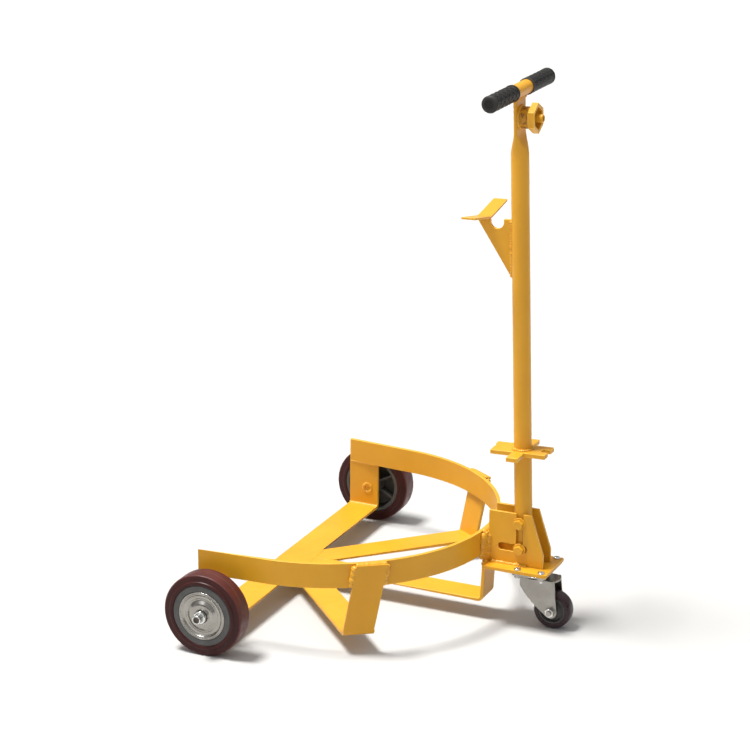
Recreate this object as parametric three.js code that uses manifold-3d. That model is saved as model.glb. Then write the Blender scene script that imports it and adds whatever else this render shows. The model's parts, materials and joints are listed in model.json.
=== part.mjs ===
// Low three-wheeled drum dolly with a lift-off handle.
//
// Millimetres, +Z up, floor at z = 0. +X points from the drum to the caster and the person
// who pulls, and the person's left hand is on the -Y side. Lengths along X are first stated
// from the centre of the drum band; the whole model is then shifted so that the origin lies
// under the middle of its bounding box.

import * as THREE from 'three';
import { mergeVertices } from 'three/addons/utils/BufferGeometryUtils.js';
import Module from 'manifold-3d';

const wasm = await Module();
wasm.setup();

// ---------------------------------------------------------------- driving dimensions

const GAP = 0.3;                     // between pieces that touch
const FLAT = 6;                      // thickness of the flat bars and of the base plate

const BAND_INNER_R = 308;            // band that embraces the drum
const BAND_TOP = 173;
const BAND_HEIGHT = 46;
const BAND_TOE = 5.4;                // degrees by which each end flares outwards
const BAND_END_X = -108;

const FLOOR_TOP = 40.5;              // top of the flat bars that carry the drum
const BEND_R = 4;                    // inner radius of the bends
const CROSS_WIDTH = 60;
const CROSS_X = -78;
const EAR_INNER_Y = 319.5;           // upturned ends of the cross bar, under the band's ends

const SPOKE_WIDTH = 54;
const SPOKE_HUB_X = -73;             // the centre lines of the spokes meet here
const SIDE_SPOKE_ANGLE = 46;         // degrees from +X
const SIDE_SEAT_ANGLE = 56;          // where a side upright touches the band
const SIDE_LEAN = 5;                 // outward lean of the uprights, degrees
const CENTRE_LEAN = 3;
const UPRIGHT_TOP = 171;

const AXLE_X = -70;                  // rear wheels
const AXLE_R = 8;
const AXLE_END = 40;                 // beyond the wheel's middle
const WHEEL_R = 75;
const WHEEL_WIDTH = 42;
const WHEEL_Y = 360;
const RIM_R = 55.6;
const CAP_R = 44.6;

const BASE_FRONT_X = 443;            // plate that joins the frame, the bracket and the caster
const BASE_WIDTH = 94;
const BASE_TOP = 115;

const CHEEK_INNER_Y = 16.3;          // slotted bracket that holds the handle
const CHEEK_THICKNESS = 5;
const CHEEK_REAR_X = 323;
const CHEEK_TOP_X = 403.5;
const CHEEK_FRONT_X = 427.5;
const CHEEK_KNEE_Z = 140.5;
const CHEEK_TOP = 213;
const SLOT_HALF = 6.9;
const SLOT_X = 381.7;
const SLOT_Z = 147.3;
const SLOT_REAR_X = 340.9;
const SLOT_FRONT_X = 396.8;

const CASTER_X = 409;                // swivel axis
const CASTER_TRAIL = 34;
const CASTER_R = 35;
const CASTER_WIDTH = 28;
const CASTER_PLATE_LENGTH = 64;
const CASTER_HOLES_X = 45;
const CASTER_HOLES_Y = 80;

const HANDLE_LEAN = 2.05;            // degrees towards the drum
const BOLT_R = 5;
const BOLT_PITCH = 49;               // between the two handle bolts
const LOWER_BOLT_X = 382.6;
const LOWER_BOLT_Z = 145.7;
const LOWER_HOLE_TRAVEL = 9.9;       // how far the lower bolt slides along the tube
const LOWER_HOLE_SIDE = 1.5;         // and across it

const TUBE_R = 15.9;                 // handle tube; heights run along it from the lower bolt
const TUBE_WALL = 2.5;
const TUBE_FOOT = -20;
const FLATTEN_START = 714;
const FLATTEN_END = 757;
const FLAT_HALF_THICKNESS = 3.3;

const TBAR_HEIGHT = 826.8;
const TBAR_R = 12.5;
const TBAR_HALF = 134;
const GRIP_R = 15;
const GRIP_INNER_Y = 33;
const GRIP_OUTER_Y = 139;

const HOOK_HEIGHT = 600;             // under the hook plate
const HOOK_FOOT = 495;
const HOOK_TIP_X = -79.5;
const HOOK_PLATE_DEPTH = 26;
const HOOK_PLATE_HALF = 75.5;
const HOOK_PLATE_RISE = 13;
const HOOK_PLATE_THICKNESS = 4;
const NOTCH_R = 12.5;
const NOTCH_X = -42.5;

const KEY_TOP = 184.4;               // cross-shaped bung key
const KEY_THICKNESS = 8;
const KEY_REAR = -53;
const KEY_FRONT = 50;
const KEY_HALF_WIDTH = 24;
const KEY_ARM = 56;
const KEY_ARM_WIDTH = 22;
const KEY_NOTCH_WIDTH = 14;
const KEY_NOTCH_DEPTH = 14;

const WRENCH_HEIGHT = 780;           // hexagonal bung wrench below the T-bar
const WRENCH_SIDE = 27;
const WRENCH_WALL = 6;
const WRENCH_BACK_X = 23.3;
const WRENCH_DEPTH = 11.5;
const STUB_R = 19;
const PIN_R = 7.25;
const PIN_END_X = 43.5;

const REAR_EXTENT = AXLE_X - WHEEL_R;
const FRONT_EXTENT = CASTER_X + CASTER_TRAIL + CASTER_R;
const ORIGIN_X = (REAR_EXTENT + FRONT_EXTENT) / 2;

const BAND_OUTER_R = BAND_INNER_R + FLAT;
const BAND_BOTTOM = BAND_TOP - BAND_HEIGHT;
const EAR_TOP = BAND_BOTTOM - GAP;
const FLOOR_BOTTOM = FLOOR_TOP - FLAT;
const CROSS_FRONT_X = CROSS_X + CROSS_WIDTH / 2;

const WHEEL_SEGMENTS = 36;
const ROUND_SEGMENTS = 20;

// ---------------------------------------------------------------- materials

const surface = (color, roughness, metalness) =>
  new THREE.MeshStandardMaterial({ color, roughness, metalness });

const yellowPaint = () => surface(0xe09a18, 0.35, 0);
const zinc = () => surface(0xb4b7ba, 0.35, 0.9);
const brightZinc = () => surface(0xd4d6d8, 0.2, 1);
const steel = () => surface(0x77797c, 0.4, 0.9);
const polyurethane = () => surface(0x4a1414, 0.35, 0);
const greyPlastic = () => surface(0x5c6061, 0.55, 0);
const blackRubber = () => surface(0x161616, 0.75, 0);

// ---------------------------------------------------------------- geometry helpers

const radians = THREE.MathUtils.degToRad;

function signedVolume(position, index) {
  const a = new THREE.Vector3();
  const b = new THREE.Vector3();
  const c = new THREE.Vector3();
  let volume = 0;
  for (let i = 0; i < index.length; i += 3) {
    a.fromBufferAttribute(position, index[i]);
    b.fromBufferAttribute(position, index[i + 1]);
    c.fromBufferAttribute(position, index[i + 2]);
    volume += a.dot(b.cross(c)) / 6;
  }
  return volume;
}

// A closed geometry as a manifold solid, turned so that its faces point out.
function solid(geometry) {
  geometry.deleteAttribute('normal');
  geometry.deleteAttribute('uv');
  const merged = mergeVertices(geometry, 1e-4);
  const triVerts = [];
  const source = merged.index.array;
  for (let i = 0; i < source.length; i += 3) {
    const [a, b, c] = [source[i], source[i + 1], source[i + 2]];
    if (a !== b && b !== c && c !== a) triVerts.push(a, b, c);
  }
  if (signedVolume(merged.attributes.position, triVerts) < 0) triVerts.reverse();
  return new wasm.Manifold(new wasm.Mesh({
    numProp: 3,
    vertProperties: new Float32Array(merged.attributes.position.array),
    triVerts: new Uint32Array(triVerts),
  }));
}

function piece(name, material, body) {
  const data = body.getMesh();
  const geometry = new THREE.BufferGeometry();
  geometry.setAttribute('position', new THREE.BufferAttribute(data.vertProperties, 3));
  geometry.setIndex(new THREE.BufferAttribute(data.triVerts, 1));
  geometry.computeVertexNormals();
  const mesh = new THREE.Mesh(geometry, material);
  mesh.name = name;
  return mesh;
}

function box(from, to) {
  const low = new THREE.Vector3(...from);
  const high = new THREE.Vector3(...to);
  const size = high.clone().sub(low);
  const middle = low.add(high).multiplyScalar(0.5);
  return solid(new THREE.BoxGeometry(size.x, size.y, size.z).translate(...middle));
}

function outline(points) {
  return new THREE.Shape(points.map(([x, y]) => new THREE.Vector2(x, y)));
}

function extrude(shape, depth, curveSegments = 12) {
  return new THREE.ExtrudeGeometry(shape, { depth, bevelEnabled: false, curveSegments });
}

// A plan outline in X and Y, raised between two heights.
function prism(shape, bottom, top, curveSegments) {
  return solid(extrude(shape, top - bottom, curveSegments).translate(0, 0, bottom));
}

// A side outline in X and Z, spread between two places along Y.
function sidePrism(shape, fromY, toY, curveSegments) {
  return solid(extrude(shape, toY - fromY, curveSegments).rotateX(Math.PI / 2).translate(0, toY, 0));
}

// A closed profile of [radius, place along the axis], turned about the Y axis.
function turnedY(profile, segments = ROUND_SEGMENTS) {
  const points = profile.map(([radius, along]) => new THREE.Vector2(radius, along));
  return solid(new THREE.LatheGeometry(points, segments));
}

function turnedZ(profile, segments = ROUND_SEGMENTS) {
  const points = profile.map(([radius, along]) => new THREE.Vector2(radius, along));
  return solid(new THREE.LatheGeometry(points, segments).rotateX(Math.PI / 2));
}

function ringProfile(innerR, outerR, from, to) {
  return [[innerR, from], [outerR, from], [outerR, to], [innerR, to], [innerR, from]];
}

function rodProfile(radius, from, to) {
  return [[0, from], [radius, from], [radius, to], [0, to]];
}

// The same turned profile with its ends swapped, for the other side of the dolly.
function mirrored(profile, side) {
  return profile.map(([radius, along]) => [radius, side * along]);
}

// A hexagonal prism about the Y axis whose end at `to` is chamfered.
function hexagonY(flats, from, to, angle = 0) {
  const corner = flats / Math.sqrt(3);
  const height = Math.abs(to - from);
  const prismY = new THREE.CylinderGeometry(corner, corner, height, 6).rotateY(radians(angle));
  const toward = Math.sign(to - from);
  const chamfer = corner - flats / 2;
  const envelope = [
    [0, from - toward],
    [corner + 1, from - toward],
    [corner + 1, to - toward * (chamfer * 0.6 + 0.6)],
    [flats / 2 * 0.97, to],
    [0, to],
  ];
  return solid(prismY.translate(0, (from + to) / 2, 0)).intersect(turnedY(envelope, 24));
}

// A rectangle with rounded corners, centred on [x, y].
function roundedRectangle(x, y, length, width, corner) {
  const [left, right] = [x - length / 2, x + length / 2];
  const [low, high] = [y - width / 2, y + width / 2];
  const shape = new THREE.Shape();
  shape.absarc(right - corner, low + corner, corner, -Math.PI / 2, 0);
  shape.absarc(right - corner, high - corner, corner, 0, Math.PI / 2);
  shape.absarc(left + corner, high - corner, corner, Math.PI / 2, Math.PI);
  shape.absarc(left + corner, low + corner, corner, Math.PI, 1.5 * Math.PI);
  return shape;
}

// ---------------------------------------------------------------- frame

// Half ring of flat bar whose ends run on as short tangents to BAND_END_X.
function drumBand() {
  const end = Math.PI / 2 - radians(BAND_TOE);
  const tail = (radius) => {
    const length = (radius * Math.cos(end) - BAND_END_X) / Math.sin(end);
    return radius * Math.sin(end) + length * Math.cos(end);
  };
  const shape = new THREE.Shape();
  shape.moveTo(BAND_END_X, -tail(BAND_OUTER_R));
  shape.absarc(0, 0, BAND_OUTER_R, -end, end, false);
  shape.lineTo(BAND_END_X, tail(BAND_OUTER_R));
  shape.lineTo(BAND_END_X, tail(BAND_INNER_R));
  shape.absarc(0, 0, BAND_INNER_R, end, -end, true);
  shape.lineTo(BAND_END_X, -tail(BAND_INNER_R));
  return piece('drum_band', yellowPaint(), prism(shape, BAND_BOTTOM, BAND_TOP, 44));
}

// Section of a flat bar that lies on the floor level and is bent up at its outer end.
// `face` is where the inner face of the upturned part crosses the height `faceZ`.
function foldedSection(start, face, faceZ, lean, top) {
  const tilt = radians(lean);
  const corner = face - (faceZ - FLOOR_TOP) * Math.tan(tilt);
  const centreX = corner - BEND_R * Math.tan((Math.PI / 2 - tilt) / 2);
  const centreZ = FLOOR_TOP + BEND_R;
  const along = (radius) => {
    const rise = (top - centreZ + radius * Math.sin(tilt)) / Math.cos(tilt);
    return centreX + radius * Math.cos(tilt) + rise * Math.sin(tilt);
  };
  const shape = new THREE.Shape();
  shape.moveTo(start, FLOOR_BOTTOM);
  shape.absarc(centreX, centreZ, BEND_R + FLAT, -Math.PI / 2, -tilt, false);
  shape.lineTo(along(BEND_R + FLAT), top);
  shape.lineTo(along(BEND_R), top);
  shape.absarc(centreX, centreZ, BEND_R, -tilt, -Math.PI / 2, true);
  shape.lineTo(start, FLOOR_TOP);
  return shape;
}

function crossBar() {
  const half = foldedSection(-FLAT, EAR_INNER_Y, FLOOR_TOP, 0, EAR_TOP);
  const bent = extrude(half, CROSS_WIDTH, 6).rotateX(Math.PI / 2).rotateZ(Math.PI / 2);
  const bar = solid(bent.translate(CROSS_X - CROSS_WIDTH / 2, 0, 0));
  const hole = turnedY(rodProfile(AXLE_R + GAP, EAR_INNER_Y - FLAT, EAR_INNER_Y + 2 * FLAT), 24)
    .translate([AXLE_X, 0, WHEEL_R]);
  const pierced = bar.subtract(hole);
  const both = pierced.add(pierced.mirror([0, 1, 0]));
  return piece('rear_cross_bar', yellowPaint(), both);
}

function centreSpoke() {
  const section = foldedSection(
    CROSS_FRONT_X + GAP, BAND_OUTER_R + GAP, BAND_BOTTOM, CENTRE_LEAN, UPRIGHT_TOP);
  const bar = sidePrism(section, -SPOKE_WIDTH / 2, SPOKE_WIDTH / 2, 6);
  return piece('centre_spoke', yellowPaint(), bar);
}

// A side spoke is folded on a line that is square to the band, not to the spoke, so its
// upright leans sideways by the angle between the two.
function sideSpoke(name, side) {
  const seat = radians(SIDE_SEAT_ANGLE);
  const skew = radians(SIDE_SEAT_ANGLE - SIDE_SPOKE_ANGLE);
  const wide = 4 * SPOKE_WIDTH;
  const section = foldedSection(
    -BAND_INNER_R, BAND_OUTER_R + GAP, BAND_BOTTOM, SIDE_LEAN, UPRIGHT_TOP);
  const fold = sidePrism(section, -wide, wide, 6).rotate([0, 0, SIDE_SEAT_ANGLE]);

  const reach = 2 * BAND_OUTER_R;
  const level = FLOOR_TOP + BEND_R;
  const quadrant = box([CROSS_FRONT_X + GAP, SPOKE_WIDTH / 2 + GAP, 0], [reach, reach, level]);
  const strip = box([0, -SPOKE_WIDTH / 2, 0], [reach, SPOKE_WIDTH / 2, level])
    .rotate([0, 0, SIDE_SPOKE_ANGLE])
    .translate([SPOKE_HUB_X, 0, 0])
    .intersect(quadrant);

  // Where the spoke's centre line meets the foot of the upright, along the fold.
  const footR = BAND_OUTER_R - (BAND_BOTTOM - FLOOR_TOP) * Math.tan(radians(SIDE_LEAN));
  const run = (footR - SPOKE_HUB_X * Math.cos(seat)) / Math.cos(skew);
  const foot = -SPOKE_HUB_X * Math.sin(seat) - run * Math.sin(skew);
  const half = SPOKE_WIDTH / 2 / Math.cos(skew);
  const drift = (UPRIGHT_TOP - level) * Math.tan(skew);
  const window = outline([
    [foot - half, level],
    [foot + half, level],
    [foot + half - drift, UPRIGHT_TOP],
    [foot - half - drift, UPRIGHT_TOP],
  ]);
  const upright = solid(extrude(window, reach).rotateX(Math.PI / 2).rotateZ(Math.PI / 2))
    .rotate([0, 0, SIDE_SEAT_ANGLE]);

  const bar = fold.intersect(strip.add(upright));
  return piece(name, yellowPaint(), side > 0 ? bar : bar.mirror([0, 1, 0]));
}

function basePlate() {
  const rear = BAND_OUTER_R + FLAT + GAP;
  const length = BASE_FRONT_X - rear;
  const shape = roundedRectangle(rear + length / 2, 0, length, BASE_WIDTH, 2);
  let plate = prism(shape, BASE_TOP - FLAT, BASE_TOP, 3);
  for (const [x, y] of casterHoles()) plate = plate.subtract(screwHole(x, y, BASE_TOP - FLAT, BASE_TOP));
  return piece('base_plate', yellowPaint(), plate);
}

// Cheek with the open slot that the handle drops into and the level slot in which its
// lower bolt slides when the handle tilts.
function cheek(name, side) {
  const shape = new THREE.Shape();
  const bottom = BASE_TOP + GAP;
  shape.moveTo(CHEEK_REAR_X, bottom);
  shape.lineTo(CHEEK_FRONT_X, bottom);
  shape.lineTo(CHEEK_FRONT_X, CHEEK_KNEE_Z);
  shape.lineTo(CHEEK_TOP_X, CHEEK_TOP);
  shape.lineTo(SLOT_X + SLOT_HALF, CHEEK_TOP);
  shape.lineTo(SLOT_X + SLOT_HALF, SLOT_Z + SLOT_HALF);
  shape.absarc(SLOT_FRONT_X - SLOT_HALF, SLOT_Z, SLOT_HALF, Math.PI / 2, -Math.PI / 2, true);
  shape.absarc(SLOT_REAR_X + SLOT_HALF, SLOT_Z, SLOT_HALF, -Math.PI / 2, -1.5 * Math.PI, true);
  shape.lineTo(SLOT_X - SLOT_HALF, SLOT_Z + SLOT_HALF);
  shape.lineTo(SLOT_X - SLOT_HALF, CHEEK_TOP);
  shape.lineTo(CHEEK_REAR_X, CHEEK_TOP);
  const near = Math.min(side * CHEEK_INNER_Y, side * (CHEEK_INNER_Y + CHEEK_THICKNESS));
  return piece(name, yellowPaint(), sidePrism(shape, near, near + CHEEK_THICKNESS, 10));
}

// ---------------------------------------------------------------- rear wheels

const HUB_INNER = -WHEEL_WIDTH / 2 - 5;       // along the axle from the wheel's middle
const HUB_OUTER = WHEEL_WIDTH / 2 - 1;
const BUSH_R = 12.5;

function tyreProfile(outerR, innerR, width) {
  const half = width / 2;
  return [
    [innerR, -half + 1],
    [outerR - 13, -half],
    [outerR - 6, -half],
    [outerR - 2.4, -half + 3],
    [outerR - 1.6, -half + 7],
    [outerR, -half + 9],
    [outerR, half - 9],
    [outerR - 1.6, half - 7],
    [outerR - 2.4, half - 3],
    [outerR - 6, half],
    [outerR - 13, half],
    [innerR, half - 1],
    [innerR, -half + 1],
  ];
}

// Moulded centre: a hub and a rim joined by a web, open towards the frame, with ribs.
function wheelCore() {
  const webFrom = 3;
  const webTo = 9;
  const hubR = 20;
  const rimInnerR = 49;
  const edge = WHEEL_WIDTH / 2 - 1;
  const section = [
    [BUSH_R + GAP, HUB_INNER],
    [hubR - 2, HUB_INNER],
    [hubR, webFrom],
    [rimInnerR - 2, webFrom],
    [rimInnerR, -edge],
    [RIM_R, -edge],
    [RIM_R, edge],
    [CAP_R + 0.6, edge],
    [CAP_R + 0.6, webTo],
    [BUSH_R + GAP, webTo],
    [BUSH_R + GAP, HUB_INNER],
  ];
  let core = turnedY(section, WHEEL_SEGMENTS);
  const ribs = 6;
  for (let i = 0; i < ribs; i += 1) {
    const rib = box([hubR - 3, -edge + 5, -2], [rimInnerR + 1, webFrom + 1, 2]);
    core = core.add(rib.rotate([0, (i + 0.5) * 360 / ribs, 0]));
  }
  return core;
}

// Pressed cap with concentric steps and a raised boss around the axle.
const CAP_PROFILE = [
  [AXLE_R + 4, 21.6],
  [17, 21.6],
  [19, 17.6],
  [33, 17.2],
  [36, 20.6],
  [CAP_R, 20.6],
  [CAP_R, 19.2],
  [37, 19.2],
  [34, 15.6],
  [18, 16],
  [16, 20],
  [AXLE_R + 4, 20],
  [AXLE_R + 4, 21.6],
];

function rearWheel(label, side) {
  const group = new THREE.Group();
  const core = side > 0 ? wheelCore() : wheelCore().mirror([0, 1, 0]);
  const tyre = tyreProfile(WHEEL_R, RIM_R + GAP, WHEEL_WIDTH);
  const bush = ringProfile(AXLE_R + GAP, BUSH_R, HUB_INNER - 0.5, 19.6);
  group.add(
    piece(`${label}_tyre`, polyurethane(), turnedY(tyre, WHEEL_SEGMENTS)),
    piece(`${label}_wheel_core`, greyPlastic(), core),
    piece(`${label}_hub_cap`, zinc(), turnedY(mirrored(CAP_PROFILE, side), WHEEL_SEGMENTS)),
    piece(`${label}_bush`, steel(), turnedY(mirrored(bush, side), 24)),
  );
  group.position.set(AXLE_X, side * WHEEL_Y, WHEEL_R);
  return group;
}

// The axle is welded into the ear; a spacer washer and a collar keep the wheel on it.
function axleSet(label, side) {
  const group = new THREE.Group();
  const inner = EAR_INNER_Y - WHEEL_Y + 0.5;
  const wheelInner = HUB_INNER - 0.5 - GAP;
  const earOuter = EAR_INNER_Y + FLAT + GAP - WHEEL_Y;
  const collarR = AXLE_R + 3.5;
  const [collarFrom, collarTo] = [22, 30];
  const recess = 5.6;
  const axle = [
    [0, inner],
    [AXLE_R, inner],
    [AXLE_R, AXLE_END - 1],
    [AXLE_R - 1, AXLE_END],
    [recess, AXLE_END],
    [recess, AXLE_END - 3],
    [0, AXLE_END - 3],
  ];
  const spacer = ringProfile(AXLE_R + GAP, AXLE_R + 6, earOuter, wheelInner);
  const collar = [
    [AXLE_R + GAP, collarFrom],
    [collarR, collarFrom],
    [collarR, collarTo - 1.5],
    [collarR - 1.5, collarTo],
    [AXLE_R + GAP, collarTo],
    [AXLE_R + GAP, collarFrom],
  ];
  group.add(
    piece(`${label}_axle`, steel(), turnedY(mirrored(axle, side), 24)),
    piece(`${label}_spacer`, zinc(), turnedY(mirrored(spacer, side), 24)),
    piece(`${label}_axle_collar`, brightZinc(), turnedY(mirrored(collar, side), 24)),
  );
  group.position.set(AXLE_X, side * WHEEL_Y, WHEEL_R);
  return group;
}

// ---------------------------------------------------------------- caster

const SCREW_R = 3;
const CASTER_PLATE_TOP = BASE_TOP - FLAT - GAP;
const CASTER_PLATE_BOTTOM = CASTER_PLATE_TOP - 3;
const CROWN_TOP = 94;
const CROWN_BOTTOM = 91;
const KINGPIN_R = 6;
const FORK_OUTER_Y = 19.5;
const FORK_INNER_Y = 16.5;
const CASTER_BOLT_R = 5;

function casterHoles() {
  const holes = [];
  for (const x of [-1, 1]) {
    for (const y of [-1, 1]) holes.push([CASTER_X + x * CASTER_HOLES_X / 2, y * CASTER_HOLES_Y / 2]);
  }
  return holes;
}

function screwHole(x, y, bottom, top) {
  return turnedZ(rodProfile(SCREW_R + GAP, bottom - 1, top + 1), 12).translate([x, y, 0]);
}

// Pan-head screw with a cross recess.
function casterScrew(index, x, y) {
  const head = BASE_TOP + GAP;
  const tip = CASTER_PLATE_BOTTOM - 8;
  const screw = turnedZ([
    [0, tip],
    [SCREW_R, tip],
    [SCREW_R, head],
    [5.8, head],
    [5.8, head + 1.4],
    [4.8, head + 2.8],
    [2.6, head + 3.6],
    [0, head + 3.7],
  ], 16);
  const slot = box([-2.6, -0.5, head + 1.6], [2.6, 0.5, head + 5]);
  const cross = slot.add(slot.rotate([0, 0, 90])).rotate([0, 0, 20 + 35 * index]);
  return piece(`caster_screw_${index}`, brightZinc(), screw.subtract(cross).translate([x, y, 0]));
}

function casterNut(index, x, y) {
  const top = CASTER_PLATE_BOTTOM - GAP;
  const nut = hexagonY(10, -top, 5 - top).subtract(turnedY(rodProfile(SCREW_R + GAP, -top - 1, 6 - top), 12));
  return piece(`caster_nut_${index}`, zinc(), nut.rotate([-90, 0, 0]).translate([x, y, 0]));
}

function casterMount() {
  const group = new THREE.Group();
  const shape = roundedRectangle(CASTER_X, 0, CASTER_PLATE_LENGTH, BASE_WIDTH, 6);
  let plate = prism(shape, CASTER_PLATE_BOTTOM, CASTER_PLATE_TOP, 4);
  const pinHole = turnedZ(rodProfile(KINGPIN_R + GAP, CROWN_BOTTOM, CASTER_PLATE_TOP + 1), 16);
  plate = plate.subtract(pinHole.translate([CASTER_X, 0, 0]));
  casterHoles().forEach(([x, y], i) => {
    plate = plate.subtract(screwHole(x, y, CASTER_PLATE_BOTTOM, CASTER_PLATE_TOP));
    group.add(casterScrew(i + 1, x, y), casterNut(i + 1, x, y));
  });
  const raceTop = CASTER_PLATE_BOTTOM - GAP;
  const race = turnedZ([
    [KINGPIN_R + GAP, raceTop],
    [24, raceTop],
    [27, raceTop - 2],
    [27, raceTop - 5],
    [24.5, raceTop - 7.5],
    [KINGPIN_R + GAP, raceTop - 7.5],
    [KINGPIN_R + GAP, raceTop],
  ], 24).translate([CASTER_X, 0, 0]);
  const kingpin = turnedZ([
    [0, CROWN_BOTTOM - 6],
    [7, CROWN_BOTTOM - 6],
    [10, CROWN_BOTTOM - 4],
    [10, CROWN_BOTTOM - GAP],
    [KINGPIN_R, CROWN_BOTTOM - GAP],
    [KINGPIN_R, CASTER_PLATE_TOP - GAP],
    [0, CASTER_PLATE_TOP - GAP],
  ], 16).translate([CASTER_X, 0, 0]);
  group.add(
    piece('caster_top_plate', zinc(), plate),
    piece('caster_upper_race', zinc(), race),
    piece('kingpin', steel(), kingpin),
  );
  return group;
}

// Pressed fork: a round crown and two legs that trail to the axle.
function casterFork() {
  const axleZ = CASTER_R;
  const bossR = 12.3;
  const rear = -25;
  const front = 39.5;
  const shape = new THREE.Shape();
  shape.moveTo(rear, CROWN_TOP);
  shape.lineTo(rear, CROWN_TOP - 16);
  shape.quadraticCurveTo(rear + 5, axleZ + 32, 4, axleZ + 8);
  shape.absarc(CASTER_TRAIL, axleZ, bossR, 1.28 * Math.PI, 2 * Math.PI, false);
  shape.lineTo(front, CROWN_TOP);
  const legs = sidePrism(shape, -FORK_OUTER_Y, FORK_OUTER_Y, 6);
  const inside = box([-60, -FORK_INNER_Y, 0], [CASTER_TRAIL + 60, FORK_INNER_Y, CROWN_BOTTOM]);
  const crown = turnedZ(rodProfile(25, CROWN_BOTTOM, CROWN_TOP), 28);
  const pinHole = turnedZ(rodProfile(KINGPIN_R + GAP, CROWN_BOTTOM - 1, CROWN_TOP + 1), 16);
  const boltHole = turnedY(rodProfile(CASTER_BOLT_R + GAP, -30, 30), 16)
    .translate([CASTER_TRAIL, 0, axleZ]);
  return legs.subtract(inside).add(crown).subtract(pinHole).subtract(boltHole);
}

function casterSwivel() {
  const group = new THREE.Group();
  const lowerRace = ringProfile(KINGPIN_R + GAP, 22, CROWN_TOP + GAP, CASTER_PLATE_BOTTOM - GAP - 7.5 - GAP);
  const head = FORK_OUTER_Y + GAP;
  const flats = 15;
  const bolt = hexagonY(flats, head, head + 6, 15)
    .add(turnedY(rodProfile(CASTER_BOLT_R, -head - 10, head + 1), 16));
  const nut = hexagonY(flats, -head, -head - 7)
    .subtract(turnedY(rodProfile(CASTER_BOLT_R + GAP, -head - 8, 1 - head), 16));
  const onAxle = [CASTER_TRAIL, 0, CASTER_R];
  group.add(
    piece('caster_fork', zinc(), casterFork()),
    piece('caster_lower_race', steel(), turnedZ(lowerRace, 28)),
    piece('caster_axle_bolt', zinc(), bolt.translate(onAxle)),
    piece('caster_axle_nut', zinc(), nut.translate(onAxle)),
  );
  group.position.x = CASTER_X;
  return group;
}

function casterWheel() {
  const group = new THREE.Group();
  const half = CASTER_WIDTH / 2;
  const coreR = 25;
  const tread = turnedY([
    [coreR + GAP, -half + 1],
    [CASTER_R - 4, -half],
    [CASTER_R - 1.2, -half + 3],
    [CASTER_R, -half + 8],
    [CASTER_R, half - 8],
    [CASTER_R - 1.2, half - 3],
    [CASTER_R - 4, half],
    [coreR + GAP, half - 1],
    [coreR + GAP, -half + 1],
  ], 28);
  const boreR = CASTER_BOLT_R + GAP;
  const core = turnedY([
    [boreR, -half - 1.8],
    [9, -half - 1.8],
    [10, -5],
    [21, -4],
    [22.5, -half + 1.5],
    [coreR, -half + 1.5],
    [coreR, half - 1.5],
    [22.5, half - 1.5],
    [21, 4],
    [10, 5],
    [9, half + 1.8],
    [boreR, half + 1.8],
    [boreR, -half - 1.8],
  ], 28);
  group.add(piece('caster_tread', polyurethane(), tread), piece('caster_core', greyPlastic(), core));
  group.position.set(CASTER_X + CASTER_TRAIL, 0, CASTER_R);
  return group;
}

// ---------------------------------------------------------------- handle bolts

// Through bolt with its head on the left, a washer on each side and a nut.
function handleBolt(label) {
  const group = new THREE.Group();
  const face = CHEEK_INNER_Y + CHEEK_THICKNESS + GAP;
  const washer = 2;
  const seat = face + washer + GAP;
  const flats = 15.5;
  const washerR = 11.8;
  const bolt = hexagonY(flats, -seat, -seat - 6.4, 10)
    .add(turnedY(rodProfile(BOLT_R, -seat - 1, seat + 11), ROUND_SEGMENTS));
  const nut = hexagonY(flats, seat, seat + 8, 20)
    .subtract(turnedY(rodProfile(BOLT_R + GAP, seat - 1, seat + 9), ROUND_SEGMENTS));
  const ring = (side) => mirrored(ringProfile(BOLT_R + GAP, washerR, face, face + washer), side);
  group.add(
    piece(`${label}_bolt`, yellowPaint(), bolt),
    piece(`${label}_bolt_left_washer`, yellowPaint(), turnedY(ring(-1), 24)),
    piece(`${label}_bolt_right_washer`, yellowPaint(), turnedY(ring(1), 24)),
    piece(`${label}_bolt_nut`, yellowPaint(), nut),
  );
  return group;
}

// ---------------------------------------------------------------- handle

// One ring of a round tube that is pressed flat across X without changing its girth.
function pressedRing(radius, halfThickness, z) {
  const straight = Math.PI * (radius - halfThickness) / 2;
  const corners = 24;
  const ring = [];
  for (let i = 0; i < corners; i += 1) {
    const angle = (i + 0.5) * 2 * Math.PI / corners;
    const side = Math.sign(Math.sin(angle));
    ring.push([
      halfThickness * Math.cos(angle),
      halfThickness * Math.sin(angle) + side * straight,
      z,
    ]);
  }
  return ring;
}

function loft(rings) {
  const corners = rings[0].length;
  const vertices = rings.flat(2);
  const index = [];
  for (let r = 0; r + 1 < rings.length; r += 1) {
    for (let i = 0; i < corners; i += 1) {
      const [a, b] = [r * corners + i, r * corners + (i + 1) % corners];
      index.push(a, b, b + corners, a, b + corners, a + corners);
    }
  }
  const last = (rings.length - 1) * corners;
  for (let i = 1; i + 1 < corners; i += 1) {
    index.push(0, i + 1, i, last, last + i, last + i + 1);
  }
  const geometry = new THREE.BufferGeometry();
  geometry.setAttribute('position', new THREE.Float32BufferAttribute(vertices, 3));
  geometry.setIndex(index);
  return solid(geometry);
}

function pressedTube(radius, flatHalf, bottom, top) {
  const steps = 6;
  const rings = [pressedRing(radius, radius, bottom)];
  for (let i = 0; i <= steps; i += 1) {
    const share = THREE.MathUtils.smoothstep(i / steps, 0, 1);
    const z = THREE.MathUtils.lerp(FLATTEN_START, FLATTEN_END, i / steps);
    rings.push(pressedRing(radius, THREE.MathUtils.lerp(radius, flatHalf, share), z));
  }
  if (top > FLATTEN_END) rings.push(pressedRing(radius, flatHalf, top));
  return loft(rings);
}

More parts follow.
